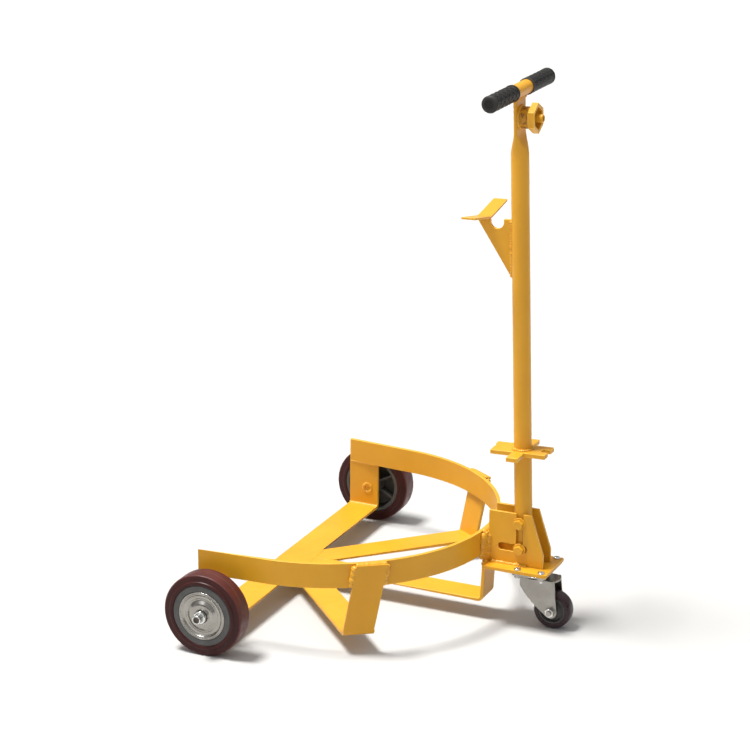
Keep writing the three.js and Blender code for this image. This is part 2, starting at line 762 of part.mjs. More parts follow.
function handleTube() {
  const outside = pressedTube(TUBE_R, FLAT_HALF_THICKNESS, TUBE_FOOT, TBAR_HEIGHT);
  const boreR = TUBE_R - TUBE_WALL;
  const inside = pressedTube(boreR, FLAT_HALF_THICKNESS - TUBE_WALL, TUBE_FOOT - 1, FLATTEN_END);
  const saddle = turnedY(rodProfile(TBAR_R + GAP, -TBAR_HALF, TBAR_HALF), 32)
    .translate([0, 0, TBAR_HEIGHT]);
  const beyond = 30;
  const upperHole = turnedY(rodProfile(BOLT_R + GAP, -beyond, beyond), ROUND_SEGMENTS)
    .translate([0, 0, BOLT_PITCH]);

  // The lower bolt stays in its level slot while the handle tilts, so its hole is long.
  const holeR = BOLT_R + GAP + LOWER_HOLE_SIDE / 2;
  const hole = new THREE.Shape();
  hole.absarc(-LOWER_HOLE_SIDE / 2, -LOWER_HOLE_TRAVEL, holeR, Math.PI, 2 * Math.PI, false);
  hole.absarc(-LOWER_HOLE_SIDE / 2, 0, holeR, 0, Math.PI, false);
  const lowerHole = sidePrism(hole, -beyond, beyond, 10);
  const tube = outside.subtract(inside).subtract(saddle).subtract(lowerHole).subtract(upperHole);
  return piece('handle_tube', yellowPaint(), tube);
}

function grip(name, side) {
  const round = 3;
  const profile = [
    [TBAR_R + GAP, GRIP_INNER_Y],
    [GRIP_R, GRIP_INNER_Y],
    [GRIP_R, GRIP_OUTER_Y - round],
    [GRIP_R - 1, GRIP_OUTER_Y - 1],
    [GRIP_R - round, GRIP_OUTER_Y],
    [0, GRIP_OUTER_Y],
    [0, TBAR_HALF + 0.5],
    [TBAR_R + GAP, TBAR_HALF + 0.5],
    [TBAR_R + GAP, GRIP_INNER_Y],
  ];
  return piece(name, blackRubber(), turnedY(mirrored(profile, side), 28).translate([0, 0, TBAR_HEIGHT]));
}

function tBar() {
  const bar = turnedY(ringProfile(TBAR_R - 2, TBAR_R, -TBAR_HALF, TBAR_HALF), 28);
  return piece('t_bar', yellowPaint(), bar.translate([0, 0, TBAR_HEIGHT]));
}

// Triangular gusset with a notch that takes the rim of a drum.
function hookGusset() {
  const tubeX = -TUBE_R - GAP;
  const shape = new THREE.Shape();
  shape.moveTo(tubeX, HOOK_FOOT);
  shape.lineTo(tubeX, HOOK_HEIGHT);
  shape.lineTo(NOTCH_X + NOTCH_R, HOOK_HEIGHT);
  shape.absarc(NOTCH_X, HOOK_HEIGHT - 5, NOTCH_R, 0, -Math.PI, true);
  shape.lineTo(NOTCH_X - NOTCH_R, HOOK_HEIGHT - GAP);
  shape.lineTo(HOOK_TIP_X + 2, HOOK_HEIGHT - GAP);
  shape.lineTo(HOOK_TIP_X + 2, HOOK_HEIGHT - 5);
  return piece('hook_gusset', yellowPaint(), sidePrism(shape, -FLAT / 2, FLAT / 2, 12));
}

// Shallow V folded along X, which bears on the curved wall of a drum.
function hookPlate() {
  const [half, rise, thickness] = [HOOK_PLATE_HALF, HOOK_PLATE_RISE, HOOK_PLATE_THICKNESS];
  const flat = FLAT / 2 + 1;
  const section = outline([
    [-flat, 0],
    [flat, 0],
    [half, rise],
    [half, rise + thickness],
    [flat, thickness],
    [-flat, thickness],
    [-half, rise + thickness],
    [-half, rise],
  ]);
  const plate = solid(extrude(section, HOOK_PLATE_DEPTH).rotateX(Math.PI / 2).rotateZ(Math.PI / 2))
    .translate([HOOK_TIP_X, 0, HOOK_HEIGHT]);
  return piece('hook_plate', yellowPaint(), plate);
}

// Cross-shaped key for drum bungs, with a forked arm towards the person.
function bungKeyPlate() {
  const [half, arm] = [KEY_HALF_WIDTH, KEY_ARM_WIDTH / 2];
  const [notch, deep] = [KEY_NOTCH_WIDTH / 2, KEY_FRONT - KEY_NOTCH_DEPTH];
  const tooth = 3;
  const shape = outline([
    [KEY_REAR, -half],
    [-arm, -half],
    [-arm, -KEY_ARM],
    [arm, -KEY_ARM],
    [arm, -half],
    [KEY_FRONT, -half],
    [KEY_FRONT, -notch],
    [deep, -notch],
    [deep, notch],
    [KEY_FRONT, notch],
    [KEY_FRONT, half],
    [arm, half],
    [arm, KEY_ARM],
    [-arm, KEY_ARM],
    [-arm, half],
    [KEY_REAR - tooth, half],
    [KEY_REAR - tooth, half - 4 * tooth],
    [KEY_REAR, half - 4 * tooth],
  ]);
  const bore = turnedZ(rodProfile(TUBE_R + GAP, KEY_TOP - KEY_THICKNESS - 1, KEY_TOP + 1), 32);
  const plate = prism(shape, KEY_TOP - KEY_THICKNESS, KEY_TOP).subtract(bore);
  return piece('bung_key_plate', yellowPaint(), plate);
}

function hexagon(side) {
  const corners = [];
  for (let i = 0; i < 6; i += 1) {
    const angle = i * Math.PI / 3;
    corners.push([side * Math.sin(angle), side * Math.cos(angle)]);
  }
  return outline(corners);
}

// An outline in Y and Z, spread between two places along X.
function frontPrism(shape, fromX, toX) {
  return solid(extrude(shape, toX - fromX).rotateX(Math.PI / 2).rotateZ(Math.PI / 2))
    .translate([fromX, 0, 0]);
}

function bungWrench() {
  const group = new THREE.Group();
  const front = WRENCH_BACK_X + WRENCH_DEPTH;
  const innerSide = WRENCH_SIDE - WRENCH_WALL * 2 / Math.sqrt(3);
  const ring = frontPrism(hexagon(WRENCH_SIDE), WRENCH_BACK_X, front)
    .subtract(frontPrism(hexagon(innerSide), WRENCH_BACK_X - 1, front + 1));
  const along = (profile) => turnedY(profile, 24).rotate([0, 0, -90]);
  const stubFrom = FLAT_HALF_THICKNESS + GAP;
  const stubTo = WRENCH_BACK_X - GAP;
  const pin = along([
    [0, stubTo + GAP],
    [PIN_R, stubTo + GAP],
    [PIN_R, PIN_END_X - 1],
    [PIN_R - 1, PIN_END_X],
    [PIN_R - 2.5, PIN_END_X],
    [PIN_R - 2.5, PIN_END_X - 6],
    [0, PIN_END_X - 6],
  ]);
  group.add(
    piece('wrench_stub', yellowPaint(), along(rodProfile(STUB_R, stubFrom, stubTo))),
    piece('wrench_ring', yellowPaint(), ring),
    piece('wrench_pin', yellowPaint(), pin),
  );
  group.position.z = WRENCH_HEIGHT;
  return group;
}

function handle() {
  const group = new THREE.Group();
  group.add(
    handleTube(),
    tBar(),
    grip('left_grip', -1),
    grip('right_grip', 1),
    hookGusset(),
    hookPlate(),
    bungKeyPlate(),
    bungWrench(),
  );
  group.position.set(LOWER_BOLT_X, 0, LOWER_BOLT_Z);
  group.rotation.y = -radians(HANDLE_LEAN);
  return group;
}

// ---------------------------------------------------------------- assembly

const dolly = new THREE.Group();

dolly.add(
  drumBand(),
  crossBar(),
  centreSpoke(),
  sideSpoke('left_spoke', -1),
  sideSpoke('right_spoke', 1),
  basePlate(),
  cheek('left_cheek', -1),
  cheek('right_cheek', 1),
);

for (const [label, side] of [['left', -1], ['right', 1]]) {
  dolly.add(rearWheel(label, side), axleSet(label, side));
}

dolly.add(casterMount(), casterSwivel(), casterWheel());

const lowerBolt = handleBolt('lower');
lowerBolt.position.set(LOWER_BOLT_X, 0, LOWER_BOLT_Z);
const upperBolt = handleBolt('upper');
upperBolt.position.set(
  LOWER_BOLT_X - BOLT_PITCH * Math.sin(radians(HANDLE_LEAN)),
  0,
  LOWER_BOLT_Z + BOLT_PITCH * Math.cos(radians(HANDLE_LEAN)),
);
dolly.add(upperBolt, lowerBolt, handle());

dolly.position.x = -ORIGIN_X;
dolly.updateMatrixWorld(true);

export default dolly;
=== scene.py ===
"""Drum dolly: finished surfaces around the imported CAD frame.

Lengths in the tables below are millimetres and are turned into metres when a mesh is made.
"Plan" places are measured from the centre of the drum band, like the CAD source, and "stem"
places run along the handle tube from its lower bolt.
"""

import json
import math

import bmesh
import bpy
from mathutils import Matrix, Vector, noise


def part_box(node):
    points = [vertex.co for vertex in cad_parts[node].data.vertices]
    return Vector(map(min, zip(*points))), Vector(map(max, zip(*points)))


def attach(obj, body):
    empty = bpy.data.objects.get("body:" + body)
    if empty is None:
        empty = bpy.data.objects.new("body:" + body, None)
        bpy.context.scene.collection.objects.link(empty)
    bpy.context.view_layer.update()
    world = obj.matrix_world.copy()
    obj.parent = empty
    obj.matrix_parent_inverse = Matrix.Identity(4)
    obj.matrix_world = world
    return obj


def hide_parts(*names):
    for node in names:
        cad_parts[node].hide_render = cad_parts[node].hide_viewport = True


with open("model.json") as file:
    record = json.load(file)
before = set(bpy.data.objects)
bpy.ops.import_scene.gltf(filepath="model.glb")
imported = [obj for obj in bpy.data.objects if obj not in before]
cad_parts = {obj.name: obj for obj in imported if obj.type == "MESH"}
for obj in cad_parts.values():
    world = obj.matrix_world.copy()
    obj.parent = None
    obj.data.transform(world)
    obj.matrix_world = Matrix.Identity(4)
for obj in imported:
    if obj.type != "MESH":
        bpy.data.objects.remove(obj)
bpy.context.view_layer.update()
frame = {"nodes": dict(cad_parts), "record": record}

NODES = frame["nodes"]
RECORD = frame["record"]
SLOT_OF = {part["node"]: part["material_slot"] for part in RECORD["subparts"]}
BODY_OF = {}
for body_name, members in RECORD["behaviour"]["bodies"].items():
    for member in members:
        BODY_OF[member] = body_name

# ------------------------------------------------------------------ dimensions

MM = 0.001
ORIGIN_X = 166.5                # plan X of the origin
GAP = 0.3                       # between pieces that touch

BAND_OUTER_R = 314
BAND_BOTTOM = 127
FLAT = 6                        # thickness of the flat bars
FLOOR_TOP = 40.5
FLOOR_BOTTOM = FLOOR_TOP - FLAT
CROSS_REAR_X = -108
CROSS_FRONT_X = -48
EAR_INNER_Y = 319.5
SPOKE_HALF = 27                 # half a spoke's width
SPOKE_HUB_X = -73               # where the spokes' middle lines meet
SIDE_SPOKE_ANGLE = 46           # degrees, of a side spoke's bar
SIDE_SEAT_ANGLE = 56            # degrees, where its upright meets the band
SIDE_LEAN = 5                   # degrees, of the side uprights
CENTRE_LEAN = 3
UPRIGHT_TOP = 171
BEND_R = 4

AXLE_X = -70
WHEEL_R = 75
WHEEL_Y = 360
AXLE_R = 8
AXLE_END = 40                   # from the wheel's middle to either end of its axle
AXLE_PAINT_Y = WHEEL_Y - 39.5   # the axle is painted with the ear inside this
AXLE_HOLE_SHADE_Y = WHEEL_Y + 36.5    # and beyond this, within the next radius, it is painted near-black as shade in its end hole
AXLE_HOLE_SHADE_R = 6.0
RUNNING_FACE_R = 73.2           # inner edge of a tyre's running face

BASE_TOP = 115
BASE_REAR_X = 320.3
BASE_HALF = 47
CHEEK_OUTER_Y = 21.3

CASTER_X = 409
CASTER_TRAIL = 34
CASTER_R = 35
CASTER_PLATE_BOTTOM = 105.7
FORK_TOP = 94
FORK_UNDER = 91
FORK_OUTER_Y = 19.5
FORK_INNER_Y = 16.5
FOLD_OUTER_R = 4.0              # of the folds between the fork's crown and legs
FOLD_INNER_R = 1.5
CROWN_BULGE = 5.5               # how far the crown swells to the front
CROWN_CUTS = 14
CROWN_FACE = 1.5                # the crown's front face is within this of its corner
SCREW_HEAD_R = 6.6
SCREW_RIM = 0.9                 # height of the head's straight edge
SCREW_DOME = 2.516              # height of the dome over it
SCREW_DOME_POWER = 2.6
SCREW_SHANK_R = 3
SCREW_LENGTH = 8                # below the caster's top plate
CROSS_HALF = 1.05               # half the width of the recess's arms
CROSS_REACH = 3.9
CROSS_DEPTH = 1.7
CROSS_SIDE_SLOPE = 0.35         # from the recess's edge to its full depth
CROSS_END_SLOPE = 0.5

LOWER_BOLT_X = 382.6
LOWER_BOLT_Z = 145.7
BOLT_PITCH = 49
HANDLE_LEAN = math.radians(2.05)
UPPER_HOLE_R = 5.3
LOWER_HOLE_R = 6.05
LOWER_HOLE_TRAVEL = 9.9         # the lower bolt's way along the tube as the handle tilts
LOWER_HOLE_X = -0.75
THREAD_R = 4.95
TUBE_R = 15.9
TUBE_WALL = 2.5
TUBE_FOOT = -20
FLATTEN_START = 714
FLATTEN_END = 757
FLAT_HALF = 3.3
TBAR_HEIGHT = 826.8
TBAR_R = 12.5
TBAR_HALF = 134
GRIP_R = 15
GRIP_BORE_R = TBAR_R + GAP
GRIP_INNER_Y = 33
GRIP_OUTER_Y = 139
GRIP_END_R = 4.2                # rounding of a grip's closed end
SCALE_DEPTH = 1.9               # of the moulded scales on the grips
SCALE_STEP = 8.8                # from one row of scales to the next
SCALES_AROUND = 7
KEY_TOP = 184.4
KEY_THICKNESS = 8
HOOK_FOOT = 495
HOOK_HEIGHT = 600
HOOK_TIP_X = -79.5
HOOK_WIDTH = 26
HOOK_HALF = 75.5                # half the plate's length
HOOK_RISE = 13                  # of its two ends
HOOK_THICKNESS = 4
HOOK_FLAT = 4                   # half the level part between the folds
WRENCH_HEIGHT = 780
WRENCH_BACK_X = 23.3
STUB_R = 19
PIN_R = 7.25
PIN_END_X = 43.5
PIN_BORE = 6                    # depth of the hollow in the pin's end

TURN = 2 * math.pi
CLOSE = 1e-4                    # metres, two places nearer than this are one


def plan(x, y, z):
    """A plan place in millimetres as a point in metres."""
    return Vector((x - ORIGIN_X, y, z)) * MM


def stem_matrix():
    """Metres along the handle to metres in the row frame."""
    return Matrix.Translation(plan(LOWER_BOLT_X, 0, LOWER_BOLT_Z)) @ Matrix.Rotation(
        -HANDLE_LEAN, 4, "Y")


STEM = stem_matrix()


def stem(x, y, z):
    return STEM @ (Vector((x, y, z)) * MM)


# ------------------------------------------------------------------ materials

class Nodes:
    """A short way to write the nodes of one material."""

    def __init__(self, name, colour, roughness, metallic=0.0):
        self.material = bpy.data.materials.new(name)
        self.material.use_nodes = True
        self.tree = self.material.node_tree
        self.shader = self.tree.nodes["Principled BSDF"]
        self.shader.inputs["Base Color"].default_value = (*colour, 1)
        self.shader.inputs["Roughness"].default_value = roughness
        self.shader.inputs["Metallic"].default_value = metallic
        self.place = self.tree.nodes.new("ShaderNodeTexCoord").outputs["Object"]
        self.normal = None

    def link(self, source, target):
        self.tree.links.new(source, target)

    def stretched(self, scale):
        node = self.tree.nodes.new("ShaderNodeMapping")
        node.inputs["Scale"].default_value = scale
        self.link(self.place, node.inputs["Vector"])
        return node.outputs["Vector"]

    def noise(self, scale, detail=3.0, rough=0.5, stretch=None):
        node = self.tree.nodes.new("ShaderNodeTexNoise")
        node.inputs["Scale"].default_value = scale
        node.inputs["Detail"].default_value = detail
        node.inputs["Roughness"].default_value = rough
        self.link(self.stretched(stretch) if stretch else self.place, node.inputs["Vector"])
        return node.outputs["Fac"]

    def spread(self, source, low, high, from_low=0.3, from_high=0.7):
        """The source's range from_low to from_high stretched to low to high."""
        node = self.tree.nodes.new("ShaderNodeMapRange")
        node.inputs["From Min"].default_value = from_low
        node.inputs["From Max"].default_value = from_high
        node.inputs["To Min"].default_value = low
        node.inputs["To Max"].default_value = high
        self.link(source, node.inputs["Value"])
        return node.outputs["Result"]

    def mix(self, factor, first, second):
        node = self.tree.nodes.new("ShaderNodeMix")
        node.data_type = "RGBA"
        self.link(factor, node.inputs["Factor"])
        for value, socket in ((first, node.inputs[6]), (second, node.inputs[7])):
            if isinstance(value, tuple):
                socket.default_value = (*value, 1)
            else:
                self.link(value, socket)
        return node.outputs[2]

    def pointed(self, low, high):
        """0 in hollows and 1 on ridges, for meshes that are fine all over."""
        geometry = self.tree.nodes.new("ShaderNodeNewGeometry")
        return self.spread(geometry.outputs["Pointiness"], 0, 1, low, high)

    def bump(self, source, strength, distance):
        """One more layer of bumps, distance millimetres high, over those so far."""
        node = self.tree.nodes.new("ShaderNodeBump")
        node.inputs["Strength"].default_value = strength
        node.inputs["Distance"].default_value = distance * MM
        self.link(source, node.inputs["Height"])
        if self.normal is not None:
            self.link(self.normal, node.inputs["Normal"])
        self.normal = node.outputs["Normal"]
        self.link(self.normal, self.shader.inputs["Normal"])

    def colour(self, source):
        self.link(source, self.shader.inputs["Base Color"])

    def rough(self, source):
        self.link(source, self.shader.inputs["Roughness"])

    def set(self, **values):
        """Fixed values of shader sockets, an underscore for each space in a name."""
        for name, value in values.items():
            self.shader.inputs[name.replace("_", " ")].default_value = value


def yellow_paint(name, light, dark):
    """Gloss powder coat: orange peel, faint unevenness and fine specks."""
    n = Nodes(name, light, 0.36)
    tone = n.mix(n.spread(n.noise(9, 4), 0, 1), light, dark)
    speck = n.spread(n.noise(950, 2), 0, 0.35, 0.70, 0.78)
    n.colour(n.mix(speck, tone, (0.38, 0.15, 0.012)))
    n.rough(n.spread(n.noise(45, 4), 0.30, 0.44))
    n.bump(n.noise(75, 3), 0.45, 0.20)
    n.bump(n.noise(560, 2), 0.35, 0.05)
    n.set(Coat_Weight=0.05, Coat_Roughness=0.18, Specular_IOR_Level=0.26)
    return n.material


def weld_paint():
    """The same coat over a weld: it shines on the ripples, and the hollows between them are
    painted darker as shade.
    """
    n = Nodes("yellow_coat_on_weld", (0.64, 0.315, 0.018), 0.32)
    drift = n.spread(n.noise(180, 4), 0, 1)
    tone = n.mix(drift, (0.70, 0.355, 0.026), (0.60, 0.280, 0.014))
    # Painted shade: a darker coat in the hollows between the ripples.
    n.colour(n.mix(n.pointed(0.38, 0.48), (0.48, 0.21, 0.011), tone))
    n.rough(n.spread(n.noise(300, 3), 0.24, 0.40))
    n.bump(n.noise(420, 4), 0.45, 0.25)
    n.set(Coat_Weight=0.15, Coat_Roughness=0.15, Specular_IOR_Level=0.4)
    return n.material


def stained_and_shaded_paint():
    """Thin coat over heat-marked steel, brown where it hardly covers, and darker all over than
    the frame's coat as painted shade.
    """
    n = Nodes("yellow_coat_heat_marked_and_shaded", (0.56, 0.26, 0.015), 0.45)
    tone = n.mix(n.spread(n.noise(60, 3), 0, 1), (0.60, 0.29, 0.016), (0.46, 0.20, 0.013))
    marks = n.spread(n.noise(170, 5, 0.65), 0, 0.85, 0.46, 0.62)
    n.colour(n.mix(marks, tone, (0.10, 0.045, 0.018)))
    n.rough(n.spread(n.noise(150, 4), 0.38, 0.62))
    n.bump(n.noise(300, 4), 0.5, 0.25)
    n.set(Specular_IOR_Level=0.3)
    return n.material


def zinc(name, shade, rough):
    """Zinc plate with a faint passivated mottle."""
    n = Nodes(name, (0.38 * shade, 0.362 * shade, 0.335 * shade), rough, 1.0)
    mottle = n.spread(n.noise(38, 5, 0.6), 0, 1)
    light = (0.41 * shade, 0.392 * shade, 0.362 * shade)
    dark = (0.33 * shade, 0.312 * shade, 0.282 * shade)
    n.colour(n.mix(mottle, light, dark))
    n.rough(n.spread(n.noise(90, 4), rough - 0.06, rough + 0.03))
    n.bump(n.noise(700, 2), 0.10, 0.02)
    n.bump(n.noise(40, 2), 0.08, 0.06)
    return n.material


def bright_zinc():
    n = Nodes("bright_plate", (0.76, 0.76, 0.75), 0.16, 1.0)
    n.colour(n.mix(n.spread(n.noise(160, 4), 0, 1), (0.80, 0.80, 0.79), (0.66, 0.66, 0.65)))
    n.rough(n.spread(n.noise(320, 3), 0.10, 0.24))
    n.bump(n.noise(1400, 2), 0.2, 0.02)
    return n.material


def dark_steel():
    """Dull dark turned steel, also laid in the recess of each axle's outer end as painted shade
    of the hole.
    """
    n = Nodes("turned_steel_and_hole_shade", (0.12, 0.10, 0.08), 0.5, 1.0)
    n.colour(n.mix(n.spread(n.noise(120, 5), 0, 1), (0.15, 0.13, 0.11), (0.07, 0.055, 0.045)))
    n.rough(n.spread(n.noise(260, 3), 0.34, 0.58))
    n.bump(n.noise(1500, 2, stretch=(0.2, 1, 1)), 0.3, 0.03)
    return n.material


def polyurethane(name, light, dark, smooth=0.30, dull=0.46, sheen=0.20):
    """Moulded maroon tyre, slightly cloudy, with a fine skin and dusty scuffs."""
    n = Nodes(name, light, 0.36)
    cloud = n.mix(n.spread(n.noise(26, 4), 0, 1), light, dark)
    scuff = n.spread(n.noise(240, 4, 0.65), 0, 0.16, 0.58, 0.75)
    n.colour(n.mix(scuff, cloud, (0.13, 0.06, 0.05)))
    n.rough(n.spread(n.noise(90, 4), smooth, dull))
    n.bump(n.noise(60, 3), 0.2, 0.12)
    n.bump(n.noise(1100, 2), 0.2, 0.02)
    n.set(Specular_IOR_Level=sheen)
    return n.material


def rolled_tread():
    """The running face of a tyre: redder, with dusty marks that go around it."""
    light, dark = (0.100, 0.020, 0.016), (0.062, 0.012, 0.010)
    n = Nodes("maroon_running_face", light, 0.4)
    cloud = n.mix(n.spread(n.noise(30, 4), 0, 1), light, dark)
    around = n.spread(n.noise(16, 5, 0.7, stretch=(1, 11, 1)), 0, 0.75, 0.54, 0.70)
    dust = n.mix(n.spread(n.noise(150, 3), 0, 1), (0.16, 0.085, 0.075), (0.24, 0.16, 0.15))
    n.colour(n.mix(around, cloud, dust))
    n.rough(n.spread(n.noise(80, 4), 0.34, 0.55))
    n.bump(n.noise(260, 3, stretch=(1, 3, 1)), 0.3, 0.06)
    n.set(Specular_IOR_Level=0.35)
    return n.material


def grey_plastic():
    n = Nodes("grey_moulding", (0.062, 0.062, 0.060), 0.5)
    tone = n.mix(n.spread(n.noise(70, 4), 0, 1), (0.070, 0.070, 0.067), (0.052, 0.052, 0.050))
    n.colour(tone)
    n.rough(n.spread(n.noise(200, 3), 0.42, 0.6))
    n.bump(n.noise(1600, 2), 0.3, 0.03)
    return n.material


def black_rubber():
    n = Nodes("black_grip_rubber", (0.010, 0.010, 0.010), 0.6)
    tone = n.mix(n.spread(n.noise(90, 4), 0, 1), (0.012, 0.0115, 0.011), (0.006, 0.006, 0.006))
    # Painted highlight: a lighter tone on the ridges of the scales; painted shade: near black in
    # the grooves between them.
    ridge_highlight = n.mix(n.pointed(0.50, 0.56), tone, (0.055, 0.052, 0.048))
    n.colour(n.mix(n.pointed(0.42, 0.49), (0.002, 0.002, 0.002), ridge_highlight))
    n.rough(n.spread(n.noise(420, 3), 0.42, 0.62))
    n.set(Specular_IOR_Level=0.26)
    n.bump(n.noise(1800, 3), 0.4, 0.05)
    return n.material


PAINT = yellow_paint("yellow_powder_coat", (0.70, 0.345, 0.021), (0.63, 0.297, 0.016))
# A lighter copy of the coat for rounded edges, as a painted highlight.
PAINT_EDGE_HIGHLIGHT = yellow_paint("yellow_coat_edge_highlight", (0.86, 0.52, 0.075), (0.78, 0.43, 0.045))
WELD = weld_paint()
STAINED_AND_SHADED = stained_and_shaded_paint()
STEEL_AND_HOLE_SHADE = dark_steel()
FINISH = {
    "yellow_paint": PAINT,
    "zinc": zinc("zinc_plate", 0.94, 0.26),
    "bright_zinc": bright_zinc(),
    "dark_steel": STEEL_AND_HOLE_SHADE,
    "polyurethane": polyurethane("maroon_tyre", (0.046, 0.010, 0.009), (0.032, 0.007, 0.006)),
    "grey_plastic": grey_plastic(),
    "black_rubber": black_rubber(),
}
CASTER_TREAD = polyurethane("caster_tread_plum", (0.033, 0.013, 0.018), (0.020, 0.008, 0.012),
                            smooth=0.24, dull=0.36, sheen=0.32)
RUNNING_FACE = rolled_tread()
PRESSED_ZINC = zinc("zinc_pressed", 0.84, 0.33)
# A lighter copy of the zinc for rounded edges, as a painted highlight.
ZINC_EDGE_HIGHLIGHT = zinc("zinc_edge_highlight", 1.6, 0.24)
# The lighter copy of each finish for its rounded edges, a painted highlight.
EDGE_HIGHLIGHT_OF = {PAINT: PAINT_EDGE_HIGHLIGHT, FINISH["zinc"]: ZINC_EDGE_HIGHLIGHT, PRESSED_ZINC: ZINC_EDGE_HIGHLIGHT}

# ------------------------------------------------------------------ mesh helpers


def finished(bm, name, materials, sharp=35):
    """A closed bmesh as a smooth object whose sharp edges stay sharp."""
    bmesh.ops.recalc_face_normals(bm, faces=bm.faces)
    mesh = bpy.data.meshes.new(name)
    bm.to_mesh(mesh)
    bm.free()
    for material in materials:
        mesh.materials.append(material)
    mesh.shade_smooth()
    mesh.set_sharp_from_angle(angle=math.radians(sharp))
    obj = bpy.data.objects.new(name, mesh)
    bpy.context.scene.collection.objects.link(obj)
    return obj


def stands_for(obj, node):
    """The piece takes the body and the place of one CAD node."""
    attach(obj, BODY_OF[node])
    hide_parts(node)
    return obj


def welded_shape(node):
    """The CAD shape of a node with its flat faces whole again."""
    bm = bmesh.new()
    bm.from_mesh(NODES[node].data)
    bmesh.ops.remove_doubles(bm, verts=bm.verts, dist=1e-6)
    bmesh.ops.dissolve_limit(
        bm, angle_limit=math.radians(0.4), verts=bm.verts, edges=bm.edges)
    return bm


def round_edges(bm, edges, width, segments, material=-1):
    """Edges rounded over a width in millimetres, the new faces in a material's slot."""
    bmesh.ops.bevel(
        bm, geom=edges, offset=width * MM, offset_type="OFFSET", segments=segments,
        profile=0.5, affect="EDGES", clamp_overlap=True, material=material)


def sharp_edges(bm, angle):
    """The edges whose faces turn by more than an angle in degrees."""
    return [e for e in bm.edges
            if len(e.link_faces) == 2 and e.calc_face_angle() > math.radians(angle)]


def flat_faces(obj):
    """Normals that keep flat faces flat beside their rounded edges."""
    obj.modifiers.new("flat_faces", "WEIGHTED_NORMAL").keep_sharp = True


def with_edges(bm, name, material):
    """The finished piece, with its rounded edges in the lighter copy of its finish as a painted
    highlight, where there is one.
    """
    obj = finished(bm, name, [material, EDGE_HIGHLIGHT_OF.get(material, material)])
    flat_faces(obj)
    return obj


def dressed(node, width, material=None, angle=28, segments=2):
    """A CAD shape with its edges rounded, which lets the light catch them; where its finish has
    a lighter copy, the rounds wear it as a painted highlight.
    """
    bm = welded_shape(node)
    round_edges(bm, sharp_edges(bm, angle), width, segments, 1)
    obj = with_edges(bm, node + "_skin", material or FINISH[SLOT_OF[node]])
    return stands_for(obj, node)


def rounded(points, radius, steps=4, closed=True):
    """The corners of a polyline, each replaced by a small curve."""
    made = []
    count = len(points)
    for i, corner in enumerate(points):
        if not closed and i in (0, count - 1):
            made.append(tuple(corner))
            continue
        here = Vector(corner)
        back = Vector(points[i - 1]) - here
        ahead = Vector(points[(i + 1) % count]) - here
        start = here + back.normalized() * min(radius, 0.45 * back.length)
        end = here + ahead.normalized() * min(radius, 0.45 * ahead.length)
        for k in range(steps + 1):
            t = k / steps
            made.append(tuple(start * (1 - t) ** 2 + here * 2 * t * (1 - t) + end * t ** 2))
    return made


def ring_faces(bm, first, second):
    """Four-sided faces between two rings of as many points."""
    count = len(first)
    for k in range(count):
        j = (k + 1) % count
        bm.faces.new((first[k], first[j], second[j], second[k]))


def skinned(bm, rings):
    """Faces along a row of rings, and one over each end."""
    for first, second in zip(rings, rings[1:]):
        ring_faces(bm, first, second)
    bm.faces.new(rings[0])
    bm.faces.new(rings[-1])
    return bm


def turned(profile, segments, place, closed=True):
    """A [radius, along] profile turned about an axis; place(radius, angle, along) is a point."""
    bm = bmesh.new()
    rows = []
    for radius, along in profile:
        if radius < 1e-6:
            rows.append([bm.verts.new(place(0, 0, along))])
            continue
        rows.append([bm.verts.new(place(radius, TURN * k / segments, along))
                     for k in range(segments)])
    pairs = list(zip(rows, rows[1:]))
    if closed:
        pairs.append((rows[-1], rows[0]))
    for first, second in pairs:
        if len(first) == 1 and len(second) == 1:
            continue
        for k in range(segments):
            j = (k + 1) % segments
            ring = [first[k % len(first)], first[j % len(first)],
                    second[j % len(second)], second[k % len(second)]]
            corners = []
            for vert in ring:
                if vert not in corners:
                    corners.append(vert)
            bm.faces.new(corners)
    return bm


def about_y(x, y, z, side=1):
    """Turned about a cross axle at a plan place."""
    def place(radius, angle, along):
        return plan(x + radius * math.cos(angle), y + side * along, z + radius * math.sin(angle))
    return place


def about_z(x, y):
    """Turned about an upright line at a plan place, with the height along it."""
    def place(radius, angle, along):
        return plan(x + radius * math.cos(angle), y + radius * math.sin(angle), along)
    return place


def stem_about_x(z):
    """Turned about a fore-and-aft line at a height on the handle."""
    def place(radius, angle, along):
        return stem(along, radius * math.cos(angle), z + radius * math.sin(angle))
    return place


def stem_about_y(z, side=1):
    """Turned about a cross line at a height on the handle."""
    def place(radius, angle, along):
        return stem(radius * math.cos(angle), side * along, z + radius * math.sin(angle))
    return place


def stem_about_z(radius, angle, along):
    """Turned about the handle's own middle line."""
    return stem(radius * math.cos(angle), radius * math.sin(angle), along)


def turned_piece(node, profile, place, segments=96, closed=True, material=None, sharp=35):
    """A turned skin that stands for a CAD node."""
    bm = turned(profile, segments, place, closed)
    obj = finished(bm, node + "_skin", [material or FINISH[SLOT_OF[node]]], sharp)
    return stands_for(obj, node)


def paint_faces(obj, material, test):
    """One more material on the faces whose middle passes the test."""
    obj.data.materials.append(material)
    for face in obj.data.polygons:
        if test(face.center):
            face.material_index = len(obj.data.materials) - 1


# ------------------------------------------------------------------ welds


def resampled(path, step):
    """Points at equal steps along a path, and the path's length."""
    lengths = [0.0]
    for a, b in zip(path, path[1:]):
        lengths.append(lengths[-1] + (b - a).length)
    count = max(4, round(lengths[-1] / step))
    made = []
    part = 0
    for i in range(count + 1):
        at = lengths[-1] * i / count
        while part < len(path) - 2 and lengths[part + 1] < at:
            part += 1
        share = (at - lengths[part]) / max(lengths[part + 1] - lengths[part], 1e-9)
        made.append(path[part].lerp(path[part + 1], share))
    return made, lengths[-1]


BEAD_SIDES = 14
BEAD_DRIFT = 160                # slow changes of a bead's size, per metre
BEAD_ROUGHNESS = 420            # and quick ones
WELD_FLARE = 0.012              # metres, how far a ring weld faces along its axis


